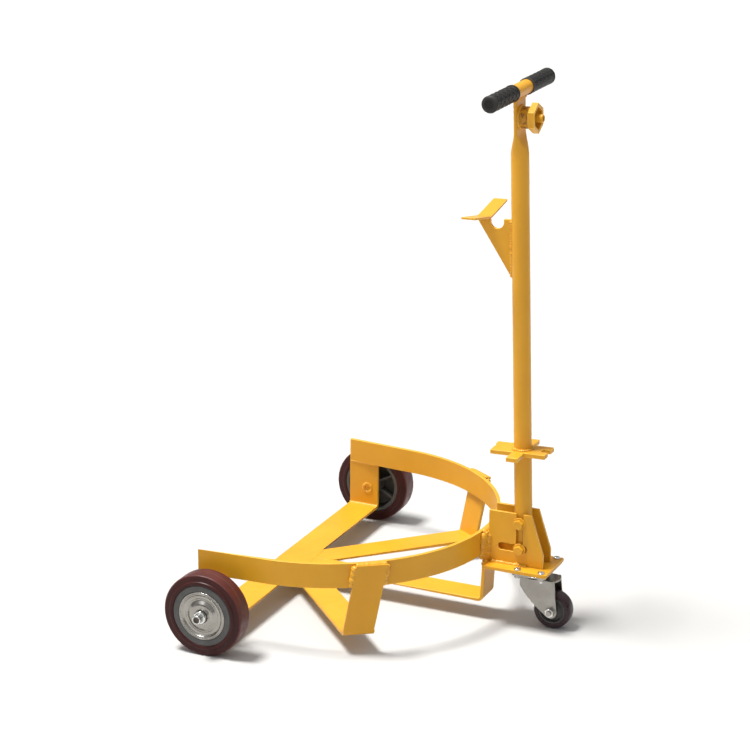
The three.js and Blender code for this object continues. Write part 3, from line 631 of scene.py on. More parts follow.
def bead(name, body, path, away, width, height=None, pitch=2.8, ripple=0.13, lump=0.2, seed=0.0):
    """A rippled weld bead along a path in metres.

    `away` points out of the seam, or gives that direction at a point. `width` and `height` are
    half the bead's and `pitch` is from ripple to ripple, in millimetres.
    """
    height = width if height is None else height
    points, length = resampled(path, pitch * MM / 5)
    looped = (path[0] - path[-1]).length < 1e-6
    last = len(points) - 1
    bm = bmesh.new()
    rings = []
    for i, point in enumerate(points[:-1] if looped else points):
        behind = points[i - 1] if i else (points[last - 1] if looped else points[0])
        tangent = (points[min(i + 1, last)] - behind).normalized()
        out = away(point) if callable(away) else Vector(away)
        out = (out - tangent * out.dot(tangent)).normalized()
        side = tangent.cross(out)
        along = length * i / last
        taper = 1.0
        if not looped:
            edge = min(along, length - along) / (width * MM)
            taper = math.sqrt(max(0.0, 1 - (1 - min(edge, 1.0)) ** 2)) * 0.9 + 0.1
        drift = noise.noise(Vector((along * BEAD_DRIFT, seed, 0.5)))
        ring = []
        for k in range(BEAD_SIDES):
            angle = TURN * k / BEAD_SIDES
            lag = 0.3 * width * MM * (1 - math.cos(angle))
            wave = 2 * abs(math.sin(math.pi * (along + lag) / (pitch * MM))) - 1
            rough = noise.noise(Vector((
                along * BEAD_ROUGHNESS, math.cos(angle) + seed, math.sin(angle))))
            size = taper * (1 + ripple * wave + lump * (0.7 * drift + 0.3 * rough)) * MM
            ring.append(bm.verts.new(
                point + out * (math.cos(angle) * height * size)
                + side * (math.sin(angle) * width * size)))
        rings.append(ring)
    if looped:
        for first, second in zip(rings, [*rings[1:], rings[0]]):
            ring_faces(bm, first, second)
    else:
        skinned(bm, rings)
    obj = finished(bm, name, [WELD], 80)
    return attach(obj, body)


def flush(name, body, path, width=4.5, height=0.55):
    """A weld ground almost level with the bars and painted over."""
    obj = bead(name, body, path, (0, 0, 1), width, height, pitch=6, ripple=0.0, lump=0.12)
    obj.data.materials[0] = PAINT
    return obj


def circle(place, radius, along, start=0.0, steps=72):
    """A closed path around the axis of a place function."""
    return [place(radius, start + TURN * k / steps, along) for k in range(steps + 1)]


def upright_weld(label, angle, lean, middle, half, drift, low):
    """Beads where an upright meets the band, down both edges and over the top.

    Its middle line starts at `middle` along the band and drifts by `drift` on its way up.
    """
    turn = Matrix.Rotation(angle, 3, "Z")
    rise = math.tan(lean)

    def at(tangential, height, share):
        surface = math.sqrt(BAND_OUTER_R ** 2 - tangential ** 2)
        face = BAND_OUTER_R + GAP + (height - BAND_BOTTOM) * rise
        spot = turn @ Vector((surface * (1 - share) + face * share, tangential, 0))
        return plan(spot.x, spot.y, height)

    def edge(side, height):
        share = (height - FLOOR_TOP - BEND_R) / (UPRIGHT_TOP - FLOOR_TOP - BEND_R)
        return middle + side * half - drift * share

    steps = 12
    for side, word in ((-1, "a"), (1, "b")):
        path = []
        for k in range(steps + 1):
            height = low + (UPRIGHT_TOP - 1.5 - low) * k / steps
            path.append(at(edge(side, height) + side * 1.4, height, 1.0))
        out = turn @ Vector((0.9, side, 0))
        bead(f"{label}_weld_{word}", "frame", path, out, 6.4, 5.4, seed=3.1 * side + angle,
             pitch=4.6, ripple=0.08, lump=0.36)
    reach = [edge(-1, UPRIGHT_TOP) - 1 + (2 * half + 2) * k / steps for k in range(steps + 1)]
    path = [at(t, UPRIGHT_TOP - 0.6, 0.75) for t in reach]
    out = turn @ Vector((0.45, 0, 1))
    bead(f"{label}_weld_top", "frame", path, out, 5.4, 3.6, pitch=9, ripple=0.05, lump=0.4,
         seed=7.7 + angle)


def frame_welds():
    seat = math.radians(SIDE_SEAT_ANGLE)
    skew = math.radians(SIDE_SEAT_ANGLE - SIDE_SPOKE_ANGLE)
    lean = math.radians(SIDE_LEAN)
    foot_r = BAND_OUTER_R - (BAND_BOTTOM - FLOOR_TOP) * math.tan(lean)
    run = (foot_r - SPOKE_HUB_X * math.cos(seat)) / math.cos(skew)
    middle = -SPOKE_HUB_X * math.sin(seat) - run * math.sin(skew)
    half = SPOKE_HALF / math.cos(skew)
    drift = (UPRIGHT_TOP - FLOOR_TOP - BEND_R) * math.tan(skew)
    upright_weld("right_spoke", seat, lean, middle, half, drift, BAND_BOTTOM + 2)
    upright_weld("left_spoke", -seat, lean, -middle, half, -drift, BAND_BOTTOM + 2)
    upright_weld("centre_spoke", 0, math.radians(CENTRE_LEAN), 0, SPOKE_HALF, 0, BASE_TOP + 3)

    def seam(name, start, end, *shape, **finish):
        bead(name, "frame", [plan(*start), plan(*end)], *shape, **finish)

    # The spokes, the cross bar and each other, ground level on top and rippled below.
    along = math.radians(SIDE_SPOKE_ANGLE)
    outer_y = (SPOKE_HALF + (CROSS_FRONT_X - SPOKE_HUB_X) * math.sin(along)) / math.cos(along)
    crotch_x = SPOKE_HUB_X + (SPOKE_HALF * (1 + math.cos(along))) / math.sin(along)
    seam_x = CROSS_FRONT_X + GAP / 2
    seam_y = SPOKE_HALF + GAP / 2
    top, bottom = FLOOR_TOP + 0.02, FLOOR_BOTTOM - 0.1
    hub_seams = [("rear", (seam_x, -outer_y), (seam_x, outer_y)),
                 ("left", (seam_x, -seam_y), (crotch_x, -seam_y)),
                 ("right", (seam_x, seam_y), (crotch_x, seam_y))]
    for word, (x0, y0), (x1, y1) in hub_seams:
        flush(f"hub_seam_{word}", "frame", [plan(x0, y0, top), plan(x1, y1, top)])
        seam(f"hub_weld_{word}", (x0, y0, bottom), (x1, y1, bottom), (0, 0, -1), 4.2, 1.9,
             seed=x1 + y1)

    for side, label in ((-1, "left"), (1, "right")):
        # The band's ends stand on the ears of the cross bar.
        y = side * EAR_INNER_Y
        seam(f"{label}_ear_weld_outer", (CROSS_REAR_X + 2, y + side * 5.6, BAND_BOTTOM - 0.2),
             (CROSS_FRONT_X - 2, y + side * 3.4, BAND_BOTTOM - 0.2), (0, side, 0.3), 4.2, 3.4,
             pitch=3.4, lump=0.3, seed=side)
        seam(f"{label}_ear_weld_inner", (CROSS_REAR_X + 1, y + side * 0.2, BAND_BOTTOM - 0.3),
             (CROSS_FRONT_X - 1, y - side * 1.6, BAND_BOTTOM - 0.3), (0, -side, -0.4), 2.6, 1.2,
             pitch=7, ripple=0.03, seed=5 * side)
        # Plug weld of the axle, on the inner face of the ear.
        ring = circle(about_y(AXLE_X, y, WHEEL_R), 8.6, 0.1 * side)
        bead(f"{label}_axle_weld", "frame", ring, (0, -side, 0), 2.9, 1.9, pitch=4.6,
             lump=0.6, seed=11 * side)
        # The bracket on the base plate and against the centre upright.
        y = side * (CHEEK_OUTER_Y + 0.2)
        seam(f"{label}_cheek_weld_foot", (325, y, BASE_TOP + 0.3), (398, y, BASE_TOP + 0.3),
             (0, side, 1), 4.0, 3.4, pitch=4.0, ripple=0.10, lump=0.6, seed=1.7 * side)
        seam(f"{label}_cheek_weld_rear", (322.0, y - side, BASE_TOP + 3),
             (323.4, y - side, UPRIGHT_TOP - 3), (0.7, side, 0), 6.4, 4.4, pitch=4.4,
             ripple=0.09, lump=0.7, seed=4.3 * side)
        seam(f"{label}_cheek_weld_fill", (320.6, side * 24.6, BASE_TOP + 1),
             (321.2, side * 24.2, UPRIGHT_TOP - 5), (1, side * 0.35, 0), 5.2, 2.6, pitch=5.2,
             ripple=0.07, lump=0.8, seed=2.9 * side)
    x, wide, narrow = BASE_REAR_X + 0.6, BASE_HALF - 3, SPOKE_HALF - 1
    top, bottom = BASE_TOP + 0.2, BASE_TOP - FLAT - 0.2
    seam("base_weld_top", (x, -wide, top), (x, wide, top), (1, 0, 1), 3.8, pitch=3.6,
         lump=0.4, seed=9.1)
    seam("base_weld_bottom", (x, -narrow, bottom), (x, narrow, bottom), (1, 0, -1), 3.6,
         pitch=3.4, lump=0.3, seed=6.4)


def handle_welds():
    up = STEM.to_3x3() @ Vector((0, 0, 1))
    front = STEM.to_3x3() @ Vector((1, 0, 0))

    def flared(z, lean):
        """Out from the handle's middle at height z, leaning to one side."""
        centre = stem(0, 0, z)
        return lambda point: (point - centre) + lean * WELD_FLARE

    key_bottom = KEY_TOP - KEY_THICKNESS
    bead("key_weld_top", "handle", circle(stem_about_z, TUBE_R + 0.7, KEY_TOP + 0.4),
         flared(KEY_TOP, up), 3.0, pitch=3.4, lump=0.6, seed=2.2)
    bead("key_weld_bottom", "handle", circle(stem_about_z, TUBE_R + 0.7, key_bottom - 0.4),
         flared(key_bottom, -up), 2.8, pitch=3.2, lump=0.4, seed=8.2)
    for side, label in ((-1, "left"), (1, "right")):
        y = side * 3.2
        bead(f"gusset_weld_{label}", "handle",
             [stem(-TUBE_R + 0.3, y, HOOK_FOOT + 2), stem(-TUBE_R + 0.3, y, HOOK_HEIGHT - 2)],
             Vector((0, side, 0)) - front * 0.6, 3.4, pitch=4.6, ripple=0.18, lump=0.45,
             seed=side * 3)
        bead(f"hook_weld_{label}", "handle",
             [stem(HOOK_TIP_X + 3, y, HOOK_HEIGHT - 0.4),
              stem(HOOK_TIP_X + HOOK_WIDTH - 2.5, y, HOOK_HEIGHT - 0.4)],
             Vector((0, side, 0)) - up, 2.5, pitch=2.8, lump=0.3, seed=side * 5)
    saddle = TBAR_HEIGHT - math.sqrt(TBAR_R ** 2 - FLAT_HALF ** 2)
    for side, label in ((-1, "rear"), (1, "front")):
        x = side * (FLAT_HALF + 0.4)
        bead(f"t_bar_weld_{label}", "handle", [stem(x, -21, saddle), stem(x, 21, saddle)],
             front * side - up * 0.3, 3.4, pitch=3.2, lump=0.35, seed=side * 6)
    bead("stub_weld", "handle",
         circle(stem_about_x(WRENCH_HEIGHT), STUB_R + 0.2, FLAT_HALF + 0.6),
         flared(WRENCH_HEIGHT, front), 2.6, pitch=3.2, lump=0.6, seed=1.3)
    bead("wrench_weld", "handle",
         circle(stem_about_x(WRENCH_HEIGHT), STUB_R + 0.2, WRENCH_BACK_X - 0.5),
         flared(WRENCH_HEIGHT, -front), 2.2, pitch=3.0, lump=0.4, seed=4.9)


# ------------------------------------------------------------------ wheels

TYRE = [
    (55.9, -20.0), (58.0, -20.9), (62.4, -20.9), (63.6, -19.2), (64.8, -18.7), (72.6, -18.3),
    (74.0, -17.6), (74.8, -16.4), (75.0, -12.0), (75.0, 12.0), (74.8, 16.4), (74.0, 17.6),
    (72.6, 18.3), (64.8, 18.7), (63.6, 19.2), (62.4, 20.9), (58.0, 20.9), (55.9, 20.0),
]
CAP = [
    (12.0, 21.6), (20.0, 21.6), (22.6, 20.8), (28.4, 17.3), (30.0, 16.9), (31.2, 17.6),
    (32.4, 17.0), (36.0, 17.1), (38.0, 18.6), (39.2, 20.2), (40.6, 20.8), (41.3, 20.0),
    (42.3, 19.9), (43.1, 20.6), (44.2, 20.4), (44.6, 19.6), (44.4, 19.1), (38.8, 18.2),
    (36.4, 15.9), (30.0, 15.8), (27.6, 16.2), (21.8, 19.4), (12.0, 20.0),
]
COLLAR = [(8.3, 22.0), (11.5, 22.0), (11.5, 28.5), (10.0, 30.0), (8.3, 30.0)]
AXLE = [
    (0, -AXLE_END), (AXLE_R, -AXLE_END), (AXLE_R, AXLE_END - 1), (7.2, AXLE_END),
    (6.0, AXLE_END), (5.6, AXLE_END - 0.8), (5.6, AXLE_END - 3), (0, AXLE_END - 3),
]
CASTER_TREAD_PROFILE = [
    (25.3, -13.0), (28.0, -13.4), (29.0, -12.8), (31.2, -14.0), (33.2, -12.2), (34.5, -8.5),
    (35.0, -4.0), (35.0, 4.0), (34.5, 8.5), (33.2, 12.2), (31.2, 14.0), (29.0, 12.8),
    (28.0, 13.4), (25.3, 13.0),
]
CASTER_CORE_PROFILE = [
    (5.3, -15.8), (8.4, -15.8), (9.2, -14.6), (10.2, -6.0), (13.0, -4.8), (19.5, -4.2),
    (21.2, -5.2), (22.2, -11.8), (23.2, -12.5), (25.0, -12.5), (25.0, 12.5), (23.2, 12.5),
    (22.2, 11.8), (21.2, 5.2), (19.5, 4.2), (13.0, 4.8), (10.2, 6.0), (9.2, 14.6),
    (8.4, 15.8), (5.3, 15.8),
]
RACE_TOP = CASTER_PLATE_BOTTOM - GAP
UPPER_RACE = [
    (6.3, RACE_TOP), (24, RACE_TOP), (25.6, RACE_TOP - 0.5), (27, RACE_TOP - 2.2),
    (27, RACE_TOP - 4.6), (25.8, RACE_TOP - 6.2), (24.0, RACE_TOP - 7.5), (6.3, RACE_TOP - 7.5),
]
LOWER_RACE = [(6.3, 94.3), (21.0, 94.3), (22.0, 95.3), (22.0, 96.6), (20.8, 97.6), (6.3, 97.6)]


def rear_wheels():
    hub = plan(AXLE_X, 0, WHEEL_R)

    def hub_distance(c):
        return math.hypot(c.x - hub.x, c.z - hub.z)

    for side, label in ((-1, "left"), (1, "right")):
        place = about_y(AXLE_X, side * WHEEL_Y, WHEEL_R, side)
        tyre = turned_piece(f"{label}_tyre", rounded(TYRE, 0.5, 3), place, 128)
        paint_faces(tyre, RUNNING_FACE, lambda c: hub_distance(c) > RUNNING_FACE_R * MM)
        turned_piece(f"{label}_hub_cap", rounded(CAP, 0.7, 3), place, 112)
        turned_piece(f"{label}_axle_collar", rounded(COLLAR, 0.5, 3), place, 64)
        axle = turned_piece(f"{label}_axle", rounded(AXLE, 0.5, 3, closed=False), place, 64,
                            closed=False, material=FINISH["bright_zinc"])
        paint_faces(axle, PAINT, lambda c: abs(c.y) < AXLE_PAINT_Y * MM)
        # Painted shade: the recess in the axle's outer end is made near-black.
        paint_faces(axle, STEEL_AND_HOLE_SHADE, lambda c: (
            abs(c.y) > AXLE_HOLE_SHADE_Y * MM and hub_distance(c) < AXLE_HOLE_SHADE_R * MM))
        dressed(f"{label}_wheel_core", 0.6)
        dressed(f"{label}_bush", 0.4)
        dressed(f"{label}_spacer", 0.4)


def crown_swollen(bm):
    """Moves the front face of the fork's crown out to a curve between the legs."""
    for k in range(1, CROWN_CUTS):
        y = FORK_INNER_Y * (2 * k / CROWN_CUTS - 1)
        bmesh.ops.bisect_plane(bm, geom=bm.verts[:] + bm.edges[:] + bm.faces[:], dist=1e-7,
                               plane_co=(0, y * MM, 0), plane_no=(0, 1, 0))
    front = max(v.co.x for v in bm.verts if abs(v.co.z - FORK_TOP * MM) < CLOSE)
    for v in bm.verts:
        across = v.co.y / (FORK_INNER_Y * MM)
        in_crown = v.co.z > FORK_UNDER * MM - CLOSE
        if abs(across) < 1 and in_crown and v.co.x > front - CROWN_FACE * MM:
            v.co.x += CROWN_BULGE * MM * (1 - across ** 2)


def caster_fork():
    """The CAD fork with a swollen crown and round folds beside it."""
    bm = welded_shape("caster_fork")
    crown_swollen(bm)

    def folded(edge, height, half):
        return all(abs(v.co.z - height * MM) < CLOSE and abs(abs(v.co.y) - half * MM) < CLOSE
                   for v in edge.verts)

    for height, half, radius in ((FORK_TOP, FORK_OUTER_Y, FOLD_OUTER_R),
                                 (FORK_UNDER, FORK_INNER_Y, FOLD_INNER_R)):
        round_edges(bm, [e for e in bm.edges if folded(e, height, half)], radius, 6)
    round_edges(bm, sharp_edges(bm, 40), 0.7, 3, 1)
    stands_for(with_edges(bm, "caster_fork_skin", PRESSED_ZINC), "caster_fork")


def caster_screw(index, x, y):
    """Domed screw head with a cross recess, on its shank."""
    seat, rings = BASE_TOP + GAP, 26
    twist = math.radians(20 + 35 * index)

    def place(radius, angle, along):
        u = abs(radius * math.cos(angle - twist))
        v = abs(radius * math.sin(angle - twist))
        side_room, end_room = CROSS_HALF - min(u, v), CROSS_REACH - max(u, v)
        depth = 0.0
        if along > seat and side_room > 0 and end_room > 0:
            depth = CROSS_DEPTH * min(
                1.0, side_room / CROSS_SIDE_SLOPE, end_room / CROSS_END_SLOPE)
        return plan(x + radius * math.cos(angle), y + radius * math.sin(angle), along - depth)

    foot, rim = CASTER_PLATE_BOTTOM - SCREW_LENGTH, seat + SCREW_RIM
    profile = [(0, foot), (SCREW_SHANK_R, foot), (SCREW_SHANK_R, seat), (SCREW_HEAD_R, seat),
               (SCREW_HEAD_R, rim)]
    for k in range(1, rings + 1):
        share = 1 - k / rings
        dome = SCREW_DOME * math.sqrt(1 - share ** SCREW_DOME_POWER)
        profile.append(((SCREW_HEAD_R - 0.1) * share, rim + dome))
    turned_piece(f"caster_screw_{index}", profile, place, 96, closed=False, sharp=50)


def caster():
    wheel = about_y(CASTER_X + CASTER_TRAIL, 0, CASTER_R)
    swivel = about_z(CASTER_X, 0)
    turned_piece("caster_tread", rounded(CASTER_TREAD_PROFILE, 0.8, 3), wheel, 96,
                 material=CASTER_TREAD)
    turned_piece("caster_core", rounded(CASTER_CORE_PROFILE, 0.5, 3), wheel, 80)
    turned_piece("caster_upper_race", rounded(UPPER_RACE, 1.0, 3), swivel, 80)
    turned_piece("caster_lower_race", rounded(LOWER_RACE, 0.5, 2), swivel, 80)
    dressed("caster_top_plate", 0.7)
    caster_fork()
    dressed("kingpin", 0.5)
    dressed("caster_axle_bolt", 0.5)
    dressed("caster_axle_nut", 0.6, FINISH["bright_zinc"])
    for index in range(1, 5):
        corner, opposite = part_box(f"caster_screw_{index}")
        middle = (Vector(corner) + Vector(opposite)) / (2 * MM)
        caster_screw(index, middle.x + ORIGIN_X, middle.y)
        dressed(f"caster_nut_{index}", 0.35)


def thread(name, body, place, start, end, material, pitch):
    """The ridges of a bolt's end that stands out of its nut."""
    profile = [(0, start)]
    count = max(2, int((end - start) / pitch))
    for k in range(count):
        base = start + pitch * k
        profile.append((THREAD_R - 0.45, base))
        profile.append((THREAD_R + 0.12, base + pitch * 0.5))
    profile.append((THREAD_R - 0.7, start + pitch * count))
    profile.append((0, start + pitch * count))
    obj = finished(turned(profile, 40, place, closed=False), name, [material], 60)
    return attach(obj, body)


def handle_bolts():
    upper_x = LOWER_BOLT_X - BOLT_PITCH * math.sin(HANDLE_LEAN)
    upper_z = LOWER_BOLT_Z + BOLT_PITCH * math.cos(HANDLE_LEAN)
    for label, x, z in (("lower", LOWER_BOLT_X, LOWER_BOLT_Z), ("upper", upper_x, upper_z)):
        dressed(f"{label}_bolt", 0.45)
        dressed(f"{label}_bolt_nut", 0.45)
        for side in ("left", "right"):
            dressed(f"{label}_bolt_{side}_washer", 0.4)
        thread(f"{label}_bolt_thread", f"{label}_bolt", about_y(x, 0, z), 32.2, 34.9, PAINT, 0.9)
    place = about_y(CASTER_X + CASTER_TRAIL, 0, CASTER_R, -1)
    thread("caster_bolt_thread", "caster_swivel", place, 27.2, 29.7, FINISH["zinc"], 0.8)


# ------------------------------------------------------------------ handle


def pressed_ring(radius, half, corners):
    """A round tube pressed flat across X without changing its girth."""
    straight = math.pi * (radius - half) / 2
    ring = []
    for k in range(corners):
        angle = TURN * (k + 0.5) / corners
        side = math.copysign(1, math.sin(angle))
        ring.append((half * math.cos(angle), half * math.sin(angle) + side * straight))
    return ring


def tube_rings(wall, bottom, top):
    """Outlines up the handle tube, `wall` inside its outer face, round below and flat above."""
    radius, flat = TUBE_R - wall, max(FLAT_HALF - wall, 0.8)
    steps = 20
    levels = [(bottom, radius)] + [(z, radius) for z in range(60, FLATTEN_START, 60)]
    for k in range(steps + 1):
        share = k / steps
        ease = share * share * (3 - 2 * share)
        z = FLATTEN_START + (FLATTEN_END - FLATTEN_START) * share
        levels.append((z, radius + (flat - radius) * ease))
    if top > FLATTEN_END:
        levels.append((top, flat))
    return [[(x, y, z) for x, y in pressed_ring(radius, half, 64)] for z, half in levels]


def lofted(rings):
    """A closed solid through rings of stem places."""
    bm = bmesh.new()
    return skinned(bm, [[bm.verts.new(stem(*corner)) for corner in ring] for ring in rings])


def cut(obj, cutter):
    """Takes the cutter's space out of obj and removes the cutter."""
    modifier = obj.modifiers.new("cut", "BOOLEAN")
    modifier.operation = "DIFFERENCE"
    modifier.solver = "EXACT"
    modifier.object = cutter
    bpy.context.view_layer.update()
    evaluated = obj.evaluated_get(bpy.context.evaluated_depsgraph_get())
    mesh = bpy.data.meshes.new_from_object(evaluated)
    old = obj.data
    obj.modifiers.clear()
    obj.data = mesh
    mesh.name = obj.name
    bpy.data.meshes.remove(old)
    bpy.data.objects.remove(cutter)


def bolt_hole(low, high, x, radius):
    """A solid that cuts a long hole across the handle tube, between two heights."""
    steps = 24
    corners = []
    for z, start in ((high, 0), (low, math.pi)):
        for k in range(steps + 1):
            angle = start + math.pi * k / steps
            corners.append((x + radius * math.cos(angle), z + radius * math.sin(angle)))
    bm = lofted([[(x, y, z) for x, z in corners] for y in (-2 * TUBE_R, 2 * TUBE_R)])
    bmesh.ops.remove_doubles(bm, verts=bm.verts, dist=1e-7)
    return finished(bm, "cutter", [])


def handle_tube():
    tube = finished(lofted(tube_rings(0, TUBE_FOOT, TBAR_HEIGHT)), "handle_tube_skin", [PAINT])
    bore = finished(lofted(tube_rings(TUBE_WALL, TUBE_FOOT - 2, FLATTEN_END)), "bore", [])
    cut(tube, bore)
    cut(tube, bolt_hole(BOLT_PITCH, BOLT_PITCH, 0, UPPER_HOLE_R))
    cut(tube, bolt_hole(-LOWER_HOLE_TRAVEL, 0, LOWER_HOLE_X, LOWER_HOLE_R))
    reach, radius = 2.5 * TUBE_R, TBAR_R + 0.2
    saddle = turned([(0, -reach), (radius, -reach), (radius, reach), (0, reach)], 64,
                    stem_about_y(TBAR_HEIGHT), closed=False)
    cut(tube, finished(saddle, "saddle", []))
    tube.data.shade_smooth()
    tube.data.set_sharp_from_angle(angle=math.radians(35))
    flat_faces(tube)
    stands_for(tube, "handle_tube")


def scale_height(angle, along):
    """Height of the overlapping scales from 0 to 1 at a place on a grip."""
    best = 0.0
    u = angle / TURN * SCALES_AROUND
    v = along / SCALE_STEP
    low = math.floor(v)
    for row in range(low - 2, low + 2):
        shift = 0.5 * (row % 2)
        centre = math.floor(u - shift + 0.5) + shift
        across = (u - centre) * 1.08
        ahead = (v - row) / 1.75
        reach = across * across * 3.2 + ahead * ahead
        if ahead >= 0 and reach < 1:
            rim = min(1.0, (1 - reach) * 5.5)
            best = max(best, rim * (0.35 + 0.65 * ahead))
    return best


def grip(label, side):
    """Closed rubber grip: scales over most of it, plain rings at both ends."""
    rings, around = 150, 128
    start, end = GRIP_INNER_Y, GRIP_OUTER_Y
    place = stem_about_y(TBAR_HEIGHT, side)
    bm = bmesh.new()

    def row(radius, along, textured=0.0):
        verts = []
        for k in range(around):
            angle = TURN * k / around
            lift = scale_height(angle, along) if textured > 0 else 0.0
            deep = SCALE_DEPTH * textured * (1 - lift)
            verts.append(bm.verts.new(place(radius - deep, angle, along)))
        return verts

    outline = [(GRIP_BORE_R, start), (GRIP_R - 0.9, start), (GRIP_R - 0.2, start + 0.5),
               (GRIP_R - 0.05, start + 3.0), (GRIP_R - 0.5, start + 3.6)]
    first, last = start + 4.4, end - 6.5
    for i in range(rings + 1):
        along = first + (last - first) * i / rings
        edge = min(1.0, (along - first) / 1.2, (last - along) / 1.2)
        outline.append((GRIP_R - 0.05, along, 0.45 + 0.55 * max(0.0, edge)))
    outline += [(GRIP_R - 0.5, last + 0.8), (GRIP_R - 0.05, last + 1.4)]
    for degrees in (10, 30, 50, 70, 85):
        a = math.radians(degrees)
        outline.append((GRIP_R - GRIP_END_R + (GRIP_END_R - 0.05) * math.cos(a),
                        end - GRIP_END_R + GRIP_END_R * math.sin(a)))
    outline += [(8.5, end - 0.05), (7.5, end - 0.45), (3.0, end - 0.55)]
    rows = [row(*spot) for spot in outline]
    for one, two in zip(rows, rows[1:]):
        ring_faces(bm, one, two)
    bm.faces.new(rows[-1])
    bore = row(GRIP_BORE_R, TBAR_HALF + 0.5)
    ring_faces(bm, rows[0], bore)
    bm.faces.new(bore)
    obj = finished(bm, f"{label}_grip_skin", [FINISH["black_rubber"]], 60)
    return stands_for(obj, f"{label}_grip")


def hook_plate():
    """Plate folded to a shallow V with rounded folds."""
    lower = [(-HOOK_HALF, HOOK_RISE), (-HOOK_FLAT, 0), (HOOK_FLAT, 0), (HOOK_HALF, HOOK_RISE)]
    upper = [(y, z + HOOK_THICKNESS) for y, z in reversed(lower)]
    section = [lower[0], *rounded(lower, 9, 6, closed=False)[1:-1], lower[-1],
               upper[0], *rounded(upper, 6, 6, closed=False)[1:-1], upper[-1]]
    bm = lofted([[(x, y, HOOK_HEIGHT + z) for y, z in section]
                 for x in (HOOK_TIP_X, HOOK_TIP_X + HOOK_WIDTH)])
    bmesh.ops.recalc_face_normals(bm, faces=bm.faces)
    round_edges(bm, sharp_edges(bm, 40), 0.7, 3, 1)
    stands_for(with_edges(bm, "hook_plate_skin", PAINT), "hook_plate")


def handle_parts():
    handle_tube()
    bar = [(10.5, -TBAR_HALF), (TBAR_R, -TBAR_HALF), (TBAR_R, TBAR_HALF), (10.5, TBAR_HALF)]
    turned_piece("t_bar", bar, stem_about_y(TBAR_HEIGHT), 64)
    grip("left", -1)
    grip("right", 1)
    hook_plate()
    dressed("hook_gusset", 0.7, segments=3)
    dressed("bung_key_plate", 0.8, segments=3)
    dressed("wrench_ring", 0.8, segments=3)
    root, tip = FLAT_HALF + GAP, WRENCH_BACK_X - GAP
    stub = [(0, root), (STUB_R, root), (STUB_R, tip), (0, tip)]
    # The stub's coat is darker than the frame's as painted shade, with brown heat marks.
    turned_piece("wrench_stub", rounded(stub, 0.6, 3, closed=False),
                 stem_about_x(WRENCH_HEIGHT), 64, closed=False, material=STAINED_AND_SHADED)
    bore = PIN_END_X - PIN_BORE
    pin = [(0, WRENCH_BACK_X), (PIN_R, WRENCH_BACK_X), (PIN_R, PIN_END_X - 1.2),
           (PIN_R - 1, PIN_END_X), (PIN_R - 2.4, PIN_END_X), (PIN_R - 2.6, bore), (0, bore)]
    turned_piece("wrench_pin", rounded(pin, 0.4, 3, closed=False),
                 stem_about_x(WRENCH_HEIGHT), 48, closed=False)


def frame_parts():
    for node in ("drum_band", "rear_cross_bar", "centre_spoke", "left_spoke", "right_spoke"):
        dressed(node, 0.8, segments=3, angle=20)
    for node in ("base_plate", "left_cheek", "right_cheek"):
        dressed(node, 0.6)


# ------------------------------------------------------------------ studio


FLOOR_HALF = 60                 # metres
FLOOR_Z = -0.0002
DOME_LOW = (0.22, 0.22, 0.22, 1)  # the dome's light at the horizon
DOME_HIGH = (1, 0.995, 0.985, 1)  # and from DOME_RISE up
DOME_RISE = 0.6
DOME_STRENGTH = 0.64
KEY_FROM = (-0.95, -0.40, 3.0)
SOFTBOX_FROM = (-2.0, -3.5, 2.7)
SOFTBOX_AT = (-0.2, -0.3, 0.1)


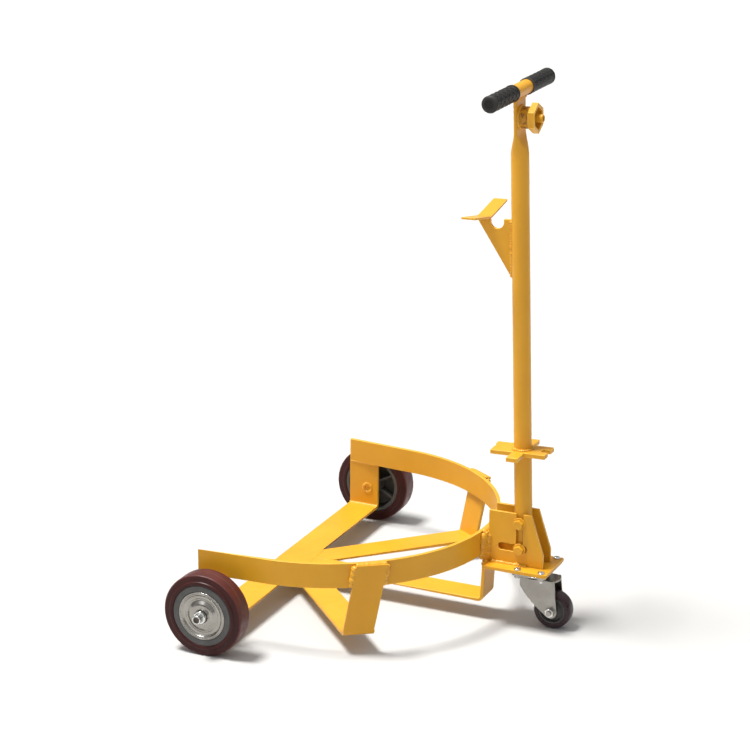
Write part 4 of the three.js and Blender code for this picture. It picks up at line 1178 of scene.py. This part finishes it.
def studio():
    floor_material = Nodes("studio_floor", (0.52, 0.52, 0.517), 0.8)
    floor_material.rough(floor_material.spread(floor_material.noise(3, 2), 0.75, 0.85))
    floor_material.set(Specular_IOR_Level=0.1)
    bm = bmesh.new()
    bm.faces.new([bm.verts.new((x * FLOOR_HALF, y * FLOOR_HALF, FLOOR_Z))
                  for x, y in ((-1, -1), (1, -1), (1, 1), (-1, 1))])
    floor = finished(bm, "studio_floor", [floor_material.material])

    # A pale dome, brighter overhead than at the horizon.
    world = bpy.data.worlds.new("studio")
    bpy.context.scene.world = world
    world.use_nodes = True
    tree = world.node_tree
    background = tree.nodes["Background"]
    direction = tree.nodes.new("ShaderNodeTexCoord").outputs["Generated"]
    split = tree.nodes.new("ShaderNodeSeparateXYZ")
    tree.links.new(direction, split.inputs["Vector"])
    ramp = tree.nodes.new("ShaderNodeValToRGB")
    ramp.color_ramp.elements[0].position = 0.0
    ramp.color_ramp.elements[0].color = DOME_LOW
    ramp.color_ramp.elements[1].position = DOME_RISE
    ramp.color_ramp.elements[1].color = DOME_HIGH
    tree.links.new(split.outputs["Z"], ramp.inputs["Fac"])
    tree.links.new(ramp.outputs["Color"], background.inputs["Color"])
    background.inputs["Strength"].default_value = DOME_STRENGTH

    def towards(obj, place, target):
        obj.location = place
        direction = Vector(target) - Vector(place)
        obj.rotation_mode = "QUATERNION"
        obj.rotation_quaternion = direction.to_track_quat("-Z", "Y")
        bpy.context.scene.collection.objects.link(obj)

    key = bpy.data.lights.new("overhead", "SUN")
    key.energy = 5.1
    key.angle = math.radians(16)
    key.color = (1, 0.985, 0.96)
    towards(bpy.data.objects.new("overhead", key), KEY_FROM, (0, 0, 0))

    softbox = bpy.data.lights.new("softbox", "AREA")
    softbox.shape = "RECTANGLE"
    softbox.size, softbox.size_y = 1.5, 1.1
    softbox.energy = 15
    softbox.color = (0.94, 0.97, 1)
    towards(bpy.data.objects.new("softbox", softbox), SOFTBOX_FROM, SOFTBOX_AT)


CAMERA_AT = (1.649, -3.856, 1.801)
CAMERA_LENS = 118.1
CAMERA_RIGHT = (0.91181, 0.41058, 0.00583)
CAMERA_UP = (-0.13203, 0.27972, 0.95096)
CAMERA_BACK = (0.38882, -0.86786, 0.30926)


def camera():
    """Sees the dolly from its left, near the caster's end and a little above."""
    data = bpy.data.cameras.new("camera")
    data.sensor_width = 36
    data.lens = CAMERA_LENS
    data.clip_end = 100
    obj = bpy.data.objects.new("camera", data)
    turn = Matrix((CAMERA_RIGHT, CAMERA_UP, CAMERA_BACK)).transposed()
    obj.matrix_world = Matrix.Translation(CAMERA_AT) @ turn.to_4x4()
    bpy.context.scene.collection.objects.link(obj)
    bpy.context.scene.camera = obj


# ------------------------------------------------------------------ making

camera()
studio()
bpy.context.scene.view_settings.view_transform = "Standard"
frame_parts()
rear_wheels()
caster()
handle_bolts()
handle_parts()
frame_welds()
handle_welds()

bpy.context.view_layer.update()
